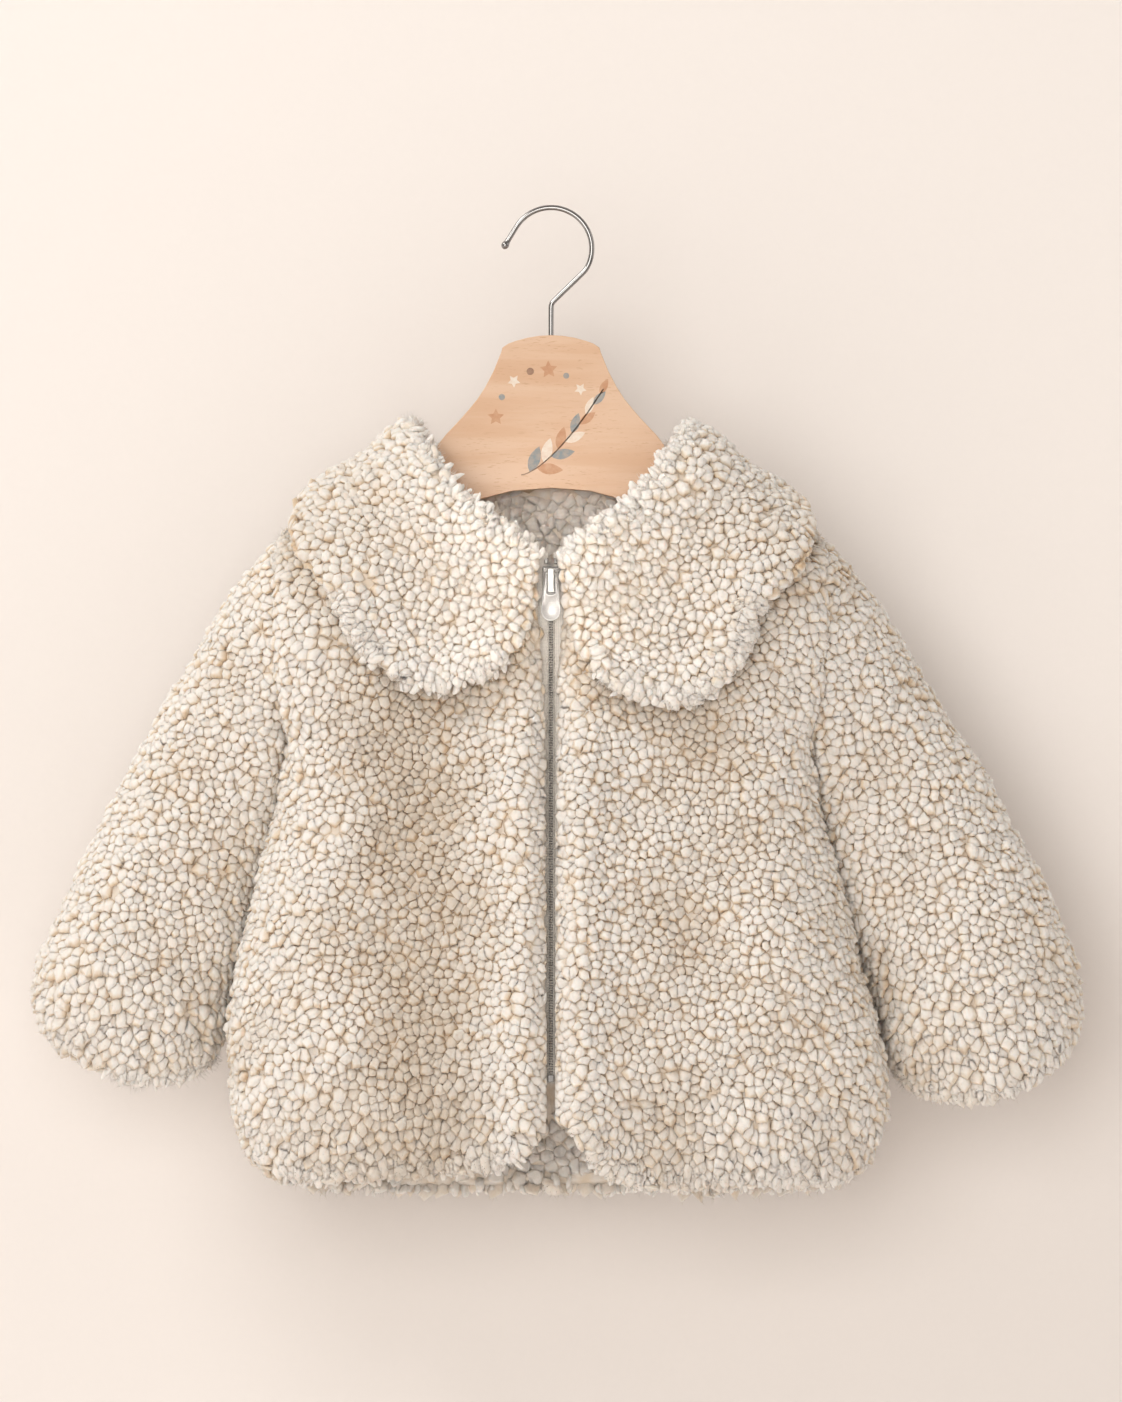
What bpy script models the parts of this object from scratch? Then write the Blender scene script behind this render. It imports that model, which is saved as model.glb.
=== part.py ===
"""A toddler's faux fur coat with a petal collar and a zip front, hanging on a wooden hanger.

Lengths are in millimetres, and MM turns them into Blender's metres as each mesh is made. +Z is up and
the coat's front faces -Y. Left and right are as someone in front of the coat sees them, so left is -X.
The origin is the inside of the hook's crown, where a rail carries the hanger.
"""

import math

import bmesh
import bpy
import numpy as np

MM = 0.001


def table(columns, *rows):
    """Rows of numbers under named columns, as one array for each name."""
    return dict(zip(columns.split(), np.array(rows, dtype=float).T))


# ---- Driving sizes ----

PILE_WALL = 6.0  # backing and pressed pile together
SEAM_GAP = 0.3  # between two pieces sewn edge to edge
FRONT, BACK = 1, -1
SIDES = {"left": -1, "right": 1}

# Shoulder seam: its height at REFERENCE_X, how steeply it falls outwards there, and how it droops further out
SHOULDER_REFERENCE_X = 75.0
SHOULDER_REFERENCE_Z = -131.0
SHOULDER_SLOPE = 0.42
SHOULDER_DROOP = 0.0039
NECK_SIDE_X = 70.0
RIDGE_RADIUS = 45.0  # how roundly the cloth turns over the shoulder

# Armhole: a leaning oval that both body panels and the sleeve share, its front swung outwards
ARMHOLE_TOP_X, ARMHOLE_TOP_Z = 141.0, -176.0
ARMHOLE_BOTTOM_Z = -284.0
ARMHOLE_BOTTOM_X = {"left": 139.0, "right": 136.5}
ARMHOLE_DEPTH = 31.0
ARMHOLE_BOW = 7.0
# Places round the armhole, as fractions of the way from its top to its bottom, closer at the ends
ARMHOLE_PLACES = (0, 0.06, 0.14, 0.23, 0.33, 0.43, 0.54, 0.66, 0.78, 0.89, 1.0)
ARMHOLE_STEPS = len(ARMHOLE_PLACES) - 1

# Half width of the body at the side seam, from the underarm down
SIDE_SEAM = table(
    "z left right",
    (-284, 139.0, 136.5),
    (-312, 144.5, 141.0),
    (-345, 152.0, 148.0),
    (-380, 160.5, 158.5),
    (-415, 168.5, 167.5),
    (-450, 173.5, 176.5),
    (-478, 171.5, 180.0),
    (-495, 168.5, 179.0),
    (-505, 165.0, 176.0),
    (-512, 159.0, 171.5),
    (-516, 155.5, 167.5),
    (-520, 155.0, 166.0),
    (-532, 155.0, 166.0),
)
SIDE_STEPS = 12

BODY_CENTRE = np.array((0.0, 0.0, -330.0))

# How far the pile stands in front of and behind the plane of the shoulder seams, midway across
BODY_DEPTH = table(
    "z front back",
    (-100, 34, 28),
    (-150, 43, 35),
    (-185, 46, 39),
    (-230, 47, 42),
    (-280, 51, 45),
    (-350, 56, 47),
    (-430, 60, 49),
    (-490, 59, 47),
    (-512, 55, 44),
    (-532, 50, 40),
)
# The body's section is a rounded oval: 1 - t**SECTION_POWER, to the power SECTION_ROOT
SECTION_POWER = 3.0
SECTION_ROOT = 0.34

# Heights of the hem across each panel, t running from the centre to the side seam
HEM = table(
    "t left right back",
    (0.00, -494, -489, -529.0),
    (0.03, -496, -491, -529.0),
    (0.09, -508, -498, -529.5),
    (0.17, -513, -517, -530.0),
    (0.24, -515, -524, -530.0),
    (0.36, -517, -525, -530.0),
    (0.55, -519, -524, -529.5),
    (0.72, -521, -523, -528.5),
    (0.85, -521, -524, -527.0),
    (0.93, -519, -523, -523.5),
    (0.97, -517, -520, -519.5),
    (1.00, -513.5, -516, -513.5),
)
HEM_ROWS = 8  # rows over which the panels' rows take on the hem's curve

# Front neckline from the neck side of the shoulder seam to the centre front
FRONT_NECK = table(
    "step x z",
    (0, 70.0, -129.0),
    (1, 69.3, -129.4),
    (2, 66.8, -132.8),
    (3, 61.0, -141.0),
    (4, 52.0, -151.5),
    (5, 40.5, -162.0),
    (6, 25.5, -173.0),
    (7, 7.0, -187.0),
)
NECK_STEPS = 7
# Depth of the back's first rows below its neckline, and how much of the top edge's curve each row keeps
BACK_ROW_DROPS = (0, 0.8, 4.5, 12, 23, 37, 52, 69)
TOP_CURVE_FADE = (1.0, 1.0, 0.97, 0.85, 0.66, 0.44, 0.22, 0.06)
BACK_NECK_DIP = 17.5
BACK_NECK_ROUNDNESS = 0.55

# Half of the opening between the two fronts, wide round the slider and nearly closed below the zip
FRONT_OPENING = table(
    "z half",
    (-187, 7.0),
    (-222, 6.9),
    (-245, 4.8),
    (-300, 4.0),
    (-420, 3.0),
    (-468, 2.2),
    (-497, 2.4),
)
# Lift of a front's pile with the distance from its zip edge: a roll, a hollow and a fuller side
FRONT_ROLL = table(
    "distance lift",
    (0, -2.2),
    (3, -0.6),
    (7, 1.8),
    (13, 3.4),
    (22, 2.2),
    (40, -2.4),
    (58, -3.4),
    (80, -0.8),
    (102, 1.8),
    (125, 1.2),
    (150, 0.0),
)
ROLL_FADE_Z = (-115.0, -180.0)  # the roll grows in over these heights

# Soft folds of the hanging cloth, each a line from top to bottom; a height below nought is a trough
FOLD_COLUMNS = "top_x top_z bottom_x bottom_z width height"
FRONT_FOLDS = table(
    FOLD_COLUMNS,
    (-118, -262, -132, -512, 15, 4.0),
    (-88, -285, -94, -530, 14, -3.2),
    (-58, -330, -66, -530, 17, 2.4),
    (-128, -250, -98, -352, 10, -2.6),
    (112, -262, 138, -516, 16, 4.2),
    (82, -300, 99, -530, 15, -3.6),
    (50, -345, 57, -530, 16, 2.6),
    (126, -252, 94, -360, 10, -2.4),
)
BACK_FOLDS = table(
    FOLD_COLUMNS,
    (-112, -240, -131, -530, 17, 4.4),
    (-76, -262, -83, -530, 16, -4.0),
    (-38, -236, -34, -530, 20, 4.2),
    (6, -290, 14, -530, 17, -3.8),
    (46, -244, 57, -530, 19, 4.4),
    (86, -282, 97, -530, 15, -4.2),
    (117, -250, 138, -530, 16, 3.8),
)

# Columns of the panels, as fractions of their width; the back has one on the neck side of its shoulder seams
FRONT_COLUMNS = 15
BACK_COLUMNS = (0, 0.12, 0.25, 0.365, 0.445, NECK_SIDE_X / ARMHOLE_TOP_X, 0.61, 0.72, 0.82, 0.905, 0.965, 1.0)

# Sleeves from armhole to cuff: the outer and inner lines seen from the front, the half depth, how far the
# sleeve is set towards the back, and how far its near and far sides dip below its outer and inner lines
SLEEVE_COLUMNS = "step outer_x outer_z inner_x inner_z depth back dip"
SLEEVES = {
    "left": table(
        SLEEVE_COLUMNS,
        (0, 141.0, -176, 139.0, -284, 31.0, 0, 0),
        (1, 160.0, -195, 142.2, -298, 33.0, 5, 0),
        (2, 181.0, -226, 146.0, -318, 35.0, 11, 0),
        (3, 201.0, -259, 150.0, -340, 36.5, 16, 0),
        (4, 221.0, -294, 155.5, -363, 37.5, 18, 0),
        (5, 240.5, -331, 163.0, -387, 38.0, 18, 0),
        (6, 258.5, -366, 170.0, -410, 38.5, 17, 1),
        (7, 273.0, -398, 176.0, -431, 38.5, 16, 3),
        (8, 280.0, -423, 180.0, -447, 37.5, 15, 8),
        (9, 271.5, -445, 186.5, -459, 31.0, 15, 17),
    ),
    "right": table(
        SLEEVE_COLUMNS,
        (0, 141.0, -176, 136.5, -284, 31.0, 0, 0),
        (1, 161.0, -194, 139.9, -299, 33.0, 5, 0),
        (2, 182.5, -225, 142.8, -319, 35.0, 11, 0),
        (3, 204.0, -259, 146.0, -342, 36.5, 16, 0),
        (4, 225.5, -293, 153.0, -366, 37.5, 18, 0),
        (5, 246.0, -329, 161.0, -390, 38.0, 18, 0),
        (6, 265.0, -365, 169.5, -414, 38.5, 17, 1),
        (7, 280.5, -400, 177.5, -437, 38.5, 16, 3),
        (8, 287.0, -430, 183.0, -455, 37.5, 15, 8),
        (9, 278.0, -456, 190.5, -469, 31.0, 15, 17),
    ),
}
SLEEVE_RINGS = 14
CUFF_DIP_BACK = 0.8  # the far side of a cuff hangs a little less low than the near one
# Folds that run along a sleeve; turn is the place round it, from its outer line over the front
SLEEVE_FOLDS = table(
    "turn start end width height",
    (62, 0.9, 8.5, 17, 2.6),
    (98, 1.4, 7.6, 15, -2.6),
    (135, 0.7, 8.0, 18, 2.2),
    (235, 1.2, 8.2, 20, 2.6),
    (275, 0.9, 7.4, 16, -2.6),
)

# Collar edge seen from the front, with the place along the front neckline that each station starts from
COLLAR_FRONT = table(
    "step left_x left_z right_x right_z flare",
    (7.00, 10.5, -213.0, 8.5, -214.0, 0.0),
    (6.55, 16.0, -233.0, 15.5, -235.5, 0.0),
    (6.10, 27.0, -247.0, 27.0, -253.5, 0.0),
    (5.60, 42.0, -255.5, 41.0, -262.5, 0.0),
    (5.10, 58.0, -258.5, 58.0, -267.0, 0.0),
    (4.60, 74.0, -256.5, 73.5, -265.0, 0.0),
    (4.15, 87.0, -249.5, 86.5, -257.5, 0.0),
    (3.70, 97.5, -239.0, 95.5, -246.5, 0.0),
    (3.30, 104.0, -226.5, 101.5, -232.5, 0.0),
    (2.90, 107.0, -213.0, 104.5, -217.0, 0.5),
    (2.50, 112.5, -204.5, 110.5, -209.0, 1.5),
    (2.10, 121.5, -202.0, 119.5, -206.0, 3.0),
    (1.60, 130.0, -194.0, 129.5, -198.0, 4.8),
    (1.10, 133.5, -183.0, 134.0, -186.0, 6.0),
    (0.60, 131.0, -172.5, 132.5, -174.5, 6.8),
    (0.00, 127.0, -163.4, 128.0, -164.2, 7.0),
)
# Collar edge down the back, edge_run being the distance over the shoulder ridge
COLLAR_BACK = table(
    "neck_x edge_x edge_run flare",
    (69.0, 125.5, 16, 6.8),
    (67.0, 122.0, 34, 6.0),
    (64.0, 115.5, 52, 4.5),
    (60.0, 105.5, 69, 2.5),
    (54.5, 92.0, 85, 1.0),
    (47.5, 77.0, 98, 0.5),
    (39.0, 58.5, 109, 0.0),
    (30.0, 40.0, 118, 0.0),
    (20.0, 23.0, 125, 0.0),
    (10.0, 9.5, 128, 0.0),
    (0.15, 0.15, 127, 0.0),
)
COLLAR_RINGS = 7
# How much of its sideways lean the collar's wall keeps near its centre front and centre back edges
COLLAR_EDGE_TURN = ((0, 0.0), (1, 0.35), (2, 0.7), (-1, 0.0))
COLLAR_SEAM_GAP = 0.9
COLLAR_LAY_GAP = 1.8  # between the collar and the panel that it lies on
COLLAR_ROLL = 4.5  # how far the collar stands off at its roll
COLLAR_ROLL_END = 0.45  # where the roll ends, as a fraction of the collar's width

# Zip: woven tapes behind the fronts, a coil along each, and the hard pieces
TAPE_WIDTH = 13.0
TAPE_THICKNESS = 0.8
TAPE_TOP_Z, TAPE_BOTTOM_Z = -185.0, -469.0
TAPE_ROWS = 17
TAPE_SPLIT_Z = (-200.0, -205.0)  # the tapes part above these heights, round the slider's post
TAPE_SPLIT = 1.3
COIL_INNER, COIL_WIDTH, COIL_HEIGHT = 0.2, 1.7, 1.8
COIL_TOP_Z, COIL_BOTTOM_Z = -206.0, -464.0
STOP_WIDTH, STOP_LENGTH, STOP_HEIGHT, STOP_BEVEL = 2.0, 3.2, 1.8, 0.35
STOP_Z = -190.0
BOX_WIDTH, BOX_LENGTH, BOX_HEIGHT, BOX_BEVEL = 3.4, 4.0, 2.6, 0.4
SLIDER_TOP_Z, SLIDER_BOTTOM_Z = -193.0, -212.0
SLIDER_WIDTH, SLIDER_PLATE, SLIDER_BEVEL = 9.0, 1.5, 0.5
SLIDER_CHANNEL_WIDTH = 6.4
POST_Z, POST_WIDTH, POST_LENGTH = -197.0, 1.6, 3.4
BRIDGE_TOP_Z, BRIDGE_BOTTOM_Z = -194.0, -206.8
BRIDGE_WIDTH, BRIDGE_STRAP, BRIDGE_CLEAR, BRIDGE_BEVEL = 3.6, 1.2, 2.5, 0.45
JOIN = 0.5  # how far joined pieces of the slider reach into each other
CUT_PAST = 2.0  # how far a cutter reaches past the metal
PULL_THICKNESS, PULL_BEVEL = 1.4, 0.3
PULL_BAR_HEIGHT = 1.5
PULL_LENGTH = 25.8  # from its hinge to its round end
PULL_TOP_WIDTH, PULL_BOTTOM_WIDTH = 7.4, 10.4
PULL_SLOT_WIDTH, PULL_SLOT_LENGTH, PULL_SLOT_ROUNDING = 5.0, 11.2, 1.2
PULL_TO_PLATE = 0.5
RUNNING_GAP = 0.4  # between the zip's pieces

# Hanger: a beech board with arms hidden in the shoulders, and a wire hook
BOARD_THICKNESS = 12.0
BOARD_BEVEL = 3.0
BOARD_DOME_Z = -67.6
BOARD_CORNER_X, BOARD_CORNER_Z = 25.0, -73.0
BOARD_CORNER_DROPS = ((1.2, 1.4), (1.9, 4.0))  # the eased corner: steps outwards and down from it
BOARD_FLANK = (
    (28.6, -81.5), (36.0, -96.5), (48.0, -112.0), (60.0, -125.5), (63.5, -131.0), (65.0, -138.0)
)
ARM_START_X, ARM_END_X = 73.0, 130.0
ARM_SEAT_GAP = 2.2
ARM_HEIGHT_END = 22.0
ARM_TIP_LIFT = 2.0
BOARD_LOWER_EDGE = (
    (112.0, -188.5), (88.0, -180.5), (62.0, -168.0), (42.0, -157.0), (21.0, -151.6), (0.0, -150.0)
)
WIRE_DIAMETER = 3.2
HOOK_RADIUS = 22.1
HOOK_START_DEG, HOOK_TURN_DEG = 150.0, -22.0
HOOK_SMALL_RADIUS, HOOK_END_DEG = 15.0, -46.0
HOOK_TIP = (-24.7, -18.7)
HOOK_BALL_RADIUS = 2.4
HOOK_BALL_DEGREES = (-88, -62, -36, -10, 16, 40, 72)  # rings of the ball, from its pole to the wire
HOOK_BEND_RADIUS = 5.0
HOOK_FOOT_Z = -84.0
SOCKET_DIAMETER, SOCKET_FLOOR_Z = 3.9, -84.5

COLLECTION_NAME = "faux_fur_coat_on_hanger"
MATERIALS = {
    # name: (red, green, blue), roughness, metallic
    "fur": ((0.80, 0.73, 0.63), 0.95, 0.0),
    "zip_tape": ((0.74, 0.67, 0.58), 0.85, 0.0),
    "zip_coil": ((0.42, 0.40, 0.37), 0.5, 0.0),
    "zip_metal": ((0.78, 0.77, 0.75), 0.28, 1.0),
    "beech": ((0.80, 0.56, 0.36), 0.5, 0.0),
    "hook_steel": ((0.72, 0.71, 0.70), 0.18, 1.0),
}


# ---- Scene and material helpers ----


def clear_scene():
    for item in list(bpy.data.objects):
        bpy.data.objects.remove(item)


def new_collection(name):
    collection = bpy.data.collections.new(name)
    bpy.context.scene.collection.children.link(collection)
    return collection


def make_material(name):
    colour, roughness, metallic = MATERIALS[name]
    material = bpy.data.materials.new(name)
    material.use_nodes = True
    shader = material.node_tree.nodes["Principled BSDF"]
    shader.inputs["Base Color"].default_value = (*colour, 1.0)
    shader.inputs["Roughness"].default_value = roughness
    shader.inputs["Metallic"].default_value = metallic
    return material


def add_object(name, mesh, material, collection, smooth_degrees=50.0):
    """Put a mesh, given in metres, into the scene with its material."""
    item = bpy.data.objects.new(name, mesh)
    collection.objects.link(item)
    mesh.materials.append(material)
    mesh.shade_smooth()
    mesh.set_sharp_from_angle(angle=math.radians(smooth_degrees))
    return item


# ---- Numbers ----


def smooth(at, stations, values):
    """Read a column of a table between its rows, along a smooth curve."""
    order = np.argsort(stations)
    rows = np.asarray(stations, dtype=float)[order]
    heights = np.asarray(values, dtype=float)[order]
    slopes = np.gradient(heights, rows)
    at = np.clip(at, rows[0], rows[-1])
    row = np.clip(np.searchsorted(rows, at) - 1, 0, len(rows) - 2)
    run = rows[row + 1] - rows[row]
    part = (at - rows[row]) / run
    return (
        (1 + 2 * part) * (1 - part) ** 2 * heights[row]
        + part * (1 - part) ** 2 * run * slopes[row]
        + part**2 * (3 - 2 * part) * heights[row + 1]
        + part**2 * (part - 1) * run * slopes[row + 1]
    )


def ramp(value, start, end):
    """0 at start, 1 at end, eased at both."""
    part = np.clip((value - start) / (end - start), 0, 1)
    return part * part * (3 - 2 * part)


def grid_normals(points, outwards, closed_round=False):
    """Unit normals of a grid of points; outwards is a rough direction or a grid of them."""
    if closed_round:
        around = np.roll(points, -1, axis=1) - np.roll(points, 1, axis=1)
    else:
        around = np.gradient(points, axis=1)
    normals = np.cross(np.gradient(points, axis=0), around)
    flip = np.sign(np.sum(normals * outwards, axis=2, keepdims=True))
    flip[flip == 0] = 1
    lengths = np.linalg.norm(normals, axis=2, keepdims=True)
    return flip * normals / np.maximum(lengths, 1e-9)


def without(normals, axis):
    """Normals turned into the plane across an axis, as a seam's cut edge lies."""
    flat = np.array(normals)
    flat[..., axis] = 0
    return flat / np.linalg.norm(flat, axis=-1, keepdims=True)


# ---- The body's surface ----


def shoulder_height(x):
    """Height of the shoulder seam, level past its outer end."""
    run = np.minimum(np.abs(x), ARMHOLE_TOP_X) - SHOULDER_REFERENCE_X
    return SHOULDER_REFERENCE_Z - SHOULDER_SLOPE * run - SHOULDER_DROOP * run**2


def armhole_swing(z):
    """How high on the armhole a height lies, from 1 at its top to -1, and how far round from its ends."""
    middle = (ARMHOLE_TOP_Z + ARMHOLE_BOTTOM_Z) / 2
    reach = (ARMHOLE_TOP_Z - ARMHOLE_BOTTOM_Z) / 2
    lean = np.clip((z - middle) / reach, -1, 1)
    return lean, np.sqrt(1 - lean**2)


def edge_width(side, face, z):
    """Half width of a body panel: out to the armhole, and below it to the side seam."""
    lean, swing = armhole_swing(z)
    bottom = ARMHOLE_BOTTOM_X[side]
    armhole = (ARMHOLE_TOP_X + bottom) / 2 + lean * (ARMHOLE_TOP_X - bottom) / 2 + face * ARMHOLE_BOW * swing
    return np.where(z < ARMHOLE_BOTTOM_Z, smooth(z, SIDE_SEAM["z"], SIDE_SEAM[side]), armhole)


def folds(rows, x, z):
    lift = np.zeros(np.broadcast(x, z).shape)
    for top_x, top_z, bottom_x, bottom_z, width, height in zip(*rows.values()):
        part = np.clip((top_z - z) / (top_z - bottom_z), 0, 1)
        centre = top_x + (bottom_x - top_x) * part
        lift = lift + height * np.sin(math.pi * part**0.8) ** 0.7 * np.exp(-(((x - centre) / width) ** 2))
    return lift


def front_lift(x, z):
    distance = np.abs(x) - smooth(z, FRONT_OPENING["z"], FRONT_OPENING["half"])
    roll = smooth(distance, FRONT_ROLL["distance"], FRONT_ROLL["lift"])
    return roll * ramp(z, *ROLL_FADE_Z) + folds(FRONT_FOLDS, x, z)


def depth(side, face, x, z):
    """How far the body's pile face stands from the plane of the shoulder seams."""
    past_ridge = np.clip(1 - (shoulder_height(x) - z) / RIDGE_RADIUS, 0, 1)
    ridge = np.sqrt(1 - past_ridge**2)
    across = np.clip(np.abs(x) / edge_width(side, face, z), 0, 1)
    section = (1 - across**SECTION_POWER) ** SECTION_ROOT
    middle = smooth(z, BODY_DEPTH["z"], BODY_DEPTH["front" if face == FRONT else "back"])
    lift = front_lift(x, z) if face == FRONT else folds(BACK_FOLDS, x, z)
    armhole = ARMHOLE_DEPTH * armhole_swing(z)[1]
    return armhole + (middle * ridge - armhole) * section + lift * ridge * (1 - across**6)


def armhole_ring(side, turn, inset=0.0):
    """Points of the armhole, turn running from its top over the front to its bottom and up the back."""
    top = np.array((ARMHOLE_TOP_X, 0.0, ARMHOLE_TOP_Z - inset))
    bottom = np.array((ARMHOLE_BOTTOM_X[side], 0.0, ARMHOLE_BOTTOM_Z + inset))
    share = (ARMHOLE_DEPTH - inset) / ARMHOLE_DEPTH
    swung = np.array((ARMHOLE_BOW, -ARMHOLE_DEPTH, 0.0)) * share
    up = np.cos(turn)[..., None] * (top - bottom) / 2
    points = (top + bottom) / 2 + up + np.sin(turn)[..., None] * swung
    points[..., 0] *= SIDES[side]
    return points


def armhole_facing(side):
    """Unit direction in which the armhole's plane faces, away from the body."""
    facing = np.array((ARMHOLE_DEPTH, ARMHOLE_BOW, 0.0))
    facing[0] *= SIDES[side]
    return facing / np.linalg.norm(facing)


def outer_edge(side, face):
    """The panel's edge down the armhole and the side seam, as x, z rows."""
    turns = np.array(ARMHOLE_PLACES) * math.pi
    ring = armhole_ring(side, turns if face == FRONT else -turns)
    hem_z = HEM[side][-1]
    heights = np.linspace(ARMHOLE_BOTTOM_Z, hem_z, SIDE_STEPS + 1)[1:]
    widths = SIDES[side] * smooth(heights, SIDE_SEAM["z"], SIDE_SEAM[side])
    return np.concatenate((ring[:, [0, 2]], np.column_stack((widths, heights))))


def bend_rows(x, straight, part, top_row, hem_row):
    """Heights of a panel's rows: like its top edge near the top, like its hem at the foot, else straight."""
    count = len(straight)
    followed = top_row + shoulder_height(x) - shoulder_height(x[0])
    drop = (followed - straight)[:, [0, -1]]
    drop = drop - drop[0]
    followed = followed - drop[:, :1] - (drop[:, 1:] - drop[:, :1]) * part
    fade = np.zeros((count, 1))
    fade[: len(TOP_CURVE_FADE), 0] = TOP_CURVE_FADE
    near_hem = np.clip((np.arange(count) - (count - 1 - HEM_ROWS)) / HEM_ROWS, 0, 1)[:, None] ** 2
    return straight + fade * (followed - straight) + near_hem * (hem_row - straight[-1])


def close_seams(points, inner, side, face, column):
    """Set one outer column of a panel exactly on its armhole and side seam, half a seam gap clear."""
    turns = np.array(ARMHOLE_PLACES) * math.pi * face
    clear = armhole_facing(side) * SEAM_GAP / 2
    for grid, inset in ((points, 0.0), (inner, PILE_WALL)):
        grid[: ARMHOLE_STEPS + 1, column] = armhole_ring(side, turns, inset) - clear
    seam_y = -face * SEAM_GAP / 2
    for grid in (points, inner):
        if face == FRONT:
            grid[..., 1] = np.minimum(grid[..., 1], seam_y)
        else:
            grid[..., 1] = np.maximum(grid[..., 1], seam_y)
        grid[ARMHOLE_STEPS:, column, 1] = seam_y


def front_panel(side):
    """Pile face and backing face of one front."""
    sign = SIDES[side]
    outer = outer_edge(side, FRONT)
    steps = np.arange(NECK_STEPS + 1)
    neck_x = smooth(steps, FRONT_NECK["step"], FRONT_NECK["x"])
    neck_z = smooth(steps, FRONT_NECK["step"], FRONT_NECK["z"])
    hem_z = HEM[side][0]
    centre_z = np.linspace(neck_z[-1], hem_z, len(outer) - NECK_STEPS)[1:]
    centre_x = smooth(centre_z, FRONT_OPENING["z"], FRONT_OPENING["half"])
    inner_x = sign * np.concatenate((neck_x, centre_x))
    inner_z = np.concatenate((neck_z, centre_z))

    part = (1 - np.cos(np.linspace(0, math.pi, FRONT_COLUMNS))) / 2
    x = inner_x[:, None] + (outer[:, 0] - inner_x)[:, None] * part
    z = inner_z[:, None] + (outer[:, 1] - inner_z)[:, None] * part
    hem = smooth(np.abs(x[-1]) / abs(x[-1, -1]), HEM["t"], HEM[side])
    z = bend_rows(x, z, part, shoulder_height(x[0]), hem)
    points = np.stack((x, -depth(side, FRONT, x, z), z), axis=-1)

    normals = grid_normals(points, points - BODY_CENTRE)
    normals[0] = without(normals[0], 1)
    normals[:, -1] = without(normals[:, -1], 1)
    normals[NECK_STEPS:, 0] = without(normals[NECK_STEPS:, 0], 0)
    backing = points - PILE_WALL * normals
    close_seams(points, backing, side, FRONT, -1)
    return points, backing


def back_neck_height(x):
    part = np.clip(np.abs(x) / NECK_SIDE_X, 0, 1)
    level = shoulder_height(NECK_SIDE_X)
    return level - BACK_NECK_DIP * (1 - part**2) ** BACK_NECK_ROUNDNESS


def back_half(side):
    """Pile points of the back from its centre out to one side."""
    outer = outer_edge(side, BACK)
    part = np.array(BACK_COLUMNS)
    neck_z = back_neck_height(0.0) - np.array(BACK_ROW_DROPS)
    centre_z = np.concatenate((neck_z, np.linspace(neck_z[-1], HEM["back"][0], len(outer) - NECK_STEPS)[1:]))
    x = outer[:, 0][:, None] * part
    z = centre_z[:, None] + (outer[:, 1] - centre_z)[:, None] * part
    top = np.where(np.abs(x[0]) < NECK_SIDE_X - 0.01, back_neck_height(x[0]), shoulder_height(x[0]))
    hem = smooth(part, HEM["t"], HEM["back"])
    hem = hem + (outer[-1, 1] - HEM["back"][-1]) * part**8
    z = bend_rows(x, z, part, top, hem)
    return np.stack((x, depth(side, BACK, x, z), z), axis=-1)


def back_panel():
    """Pile face and backing face of the back, one piece from side to side."""
    left, right = back_half("left"), back_half("right")
    points = np.concatenate((left[:, :0:-1], right), axis=1)
    normals = grid_normals(points, points - BODY_CENTRE)
    shoulder = np.abs(points[0, :, 0]) > NECK_SIDE_X - 0.01
    normals[0, shoulder] = without(normals[0, shoulder], 1)
    normals[:, 0] = without(normals[:, 0], 1)
    normals[:, -1] = without(normals[:, -1], 1)
    backing = points - PILE_WALL * normals
    close_seams(points, backing, "left", BACK, 0)
    close_seams(points, backing, "right", BACK, -1)
    return points, backing


# ---- Sleeves ----


def sleeve(side):
    """Pile face and backing face of one sleeve, rings from the armhole to the cuff."""
    rows = SLEEVES[side]
    steps = np.linspace(0, rows["step"][-1], SLEEVE_RINGS)
    read = {name: smooth(steps, rows["step"], rows[name]) for name in rows}
    half_turns = np.array(ARMHOLE_PLACES) * math.pi
    turn = np.concatenate((half_turns, 2 * math.pi - half_turns[-2:0:-1]))
    outer = np.column_stack((read["outer_x"], np.zeros(len(steps)), read["outer_z"]))
    inner = np.column_stack((read["inner_x"], np.zeros(len(steps)), read["inner_z"]))
    middle = (outer + inner) / 2 + np.outer(read["back"], (0, 1, 0))
    along = np.gradient(middle, axis=0)
    along[:, 1] = 0
    along /= np.linalg.norm(along, axis=1, keepdims=True)

    half = (outer - inner) / 2
    swing = np.sin(turn)[None, :, None]
    bow = ARMHOLE_BOW * np.clip(1 - steps / 2, 0, 1)
    front = np.column_stack((bow, -read["depth"], np.zeros(len(steps))))
    points = middle[:, None] + np.cos(turn)[None, :, None] * half[:, None] + swing * front[:, None]
    near = np.where(swing > 0, 1.0, CUFF_DIP_BACK)
    points = points + read["dip"][:, None, None] * near * np.abs(swing) ** 1.4 * along[:, None]

    radial = points - middle[:, None]
    radial /= np.linalg.norm(radial, axis=2, keepdims=True)
    lift = np.zeros((len(steps), len(turn)))
    for place, start, end, width, height in zip(*SLEEVE_FOLDS.values()):
        part = np.clip((steps - start) / (end - start), 0, 1)
        away = np.degrees(turn)[None, :] - place
        lift += height * np.sin(math.pi * part)[:, None] * np.exp(-((away / width) ** 2))
    points = points + radial * lift[..., None]
    points[..., 0] *= SIDES[side]
    radial[..., 0] *= SIDES[side]

    backing = points - PILE_WALL * grid_normals(points, radial, closed_round=True)
    clear = armhole_facing(side) * SEAM_GAP / 2
    points[0] = armhole_ring(side, turn) + clear
    backing[0] = armhole_ring(side, turn, PILE_WALL) + clear
    return points, backing


# ---- Collar ----


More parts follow.
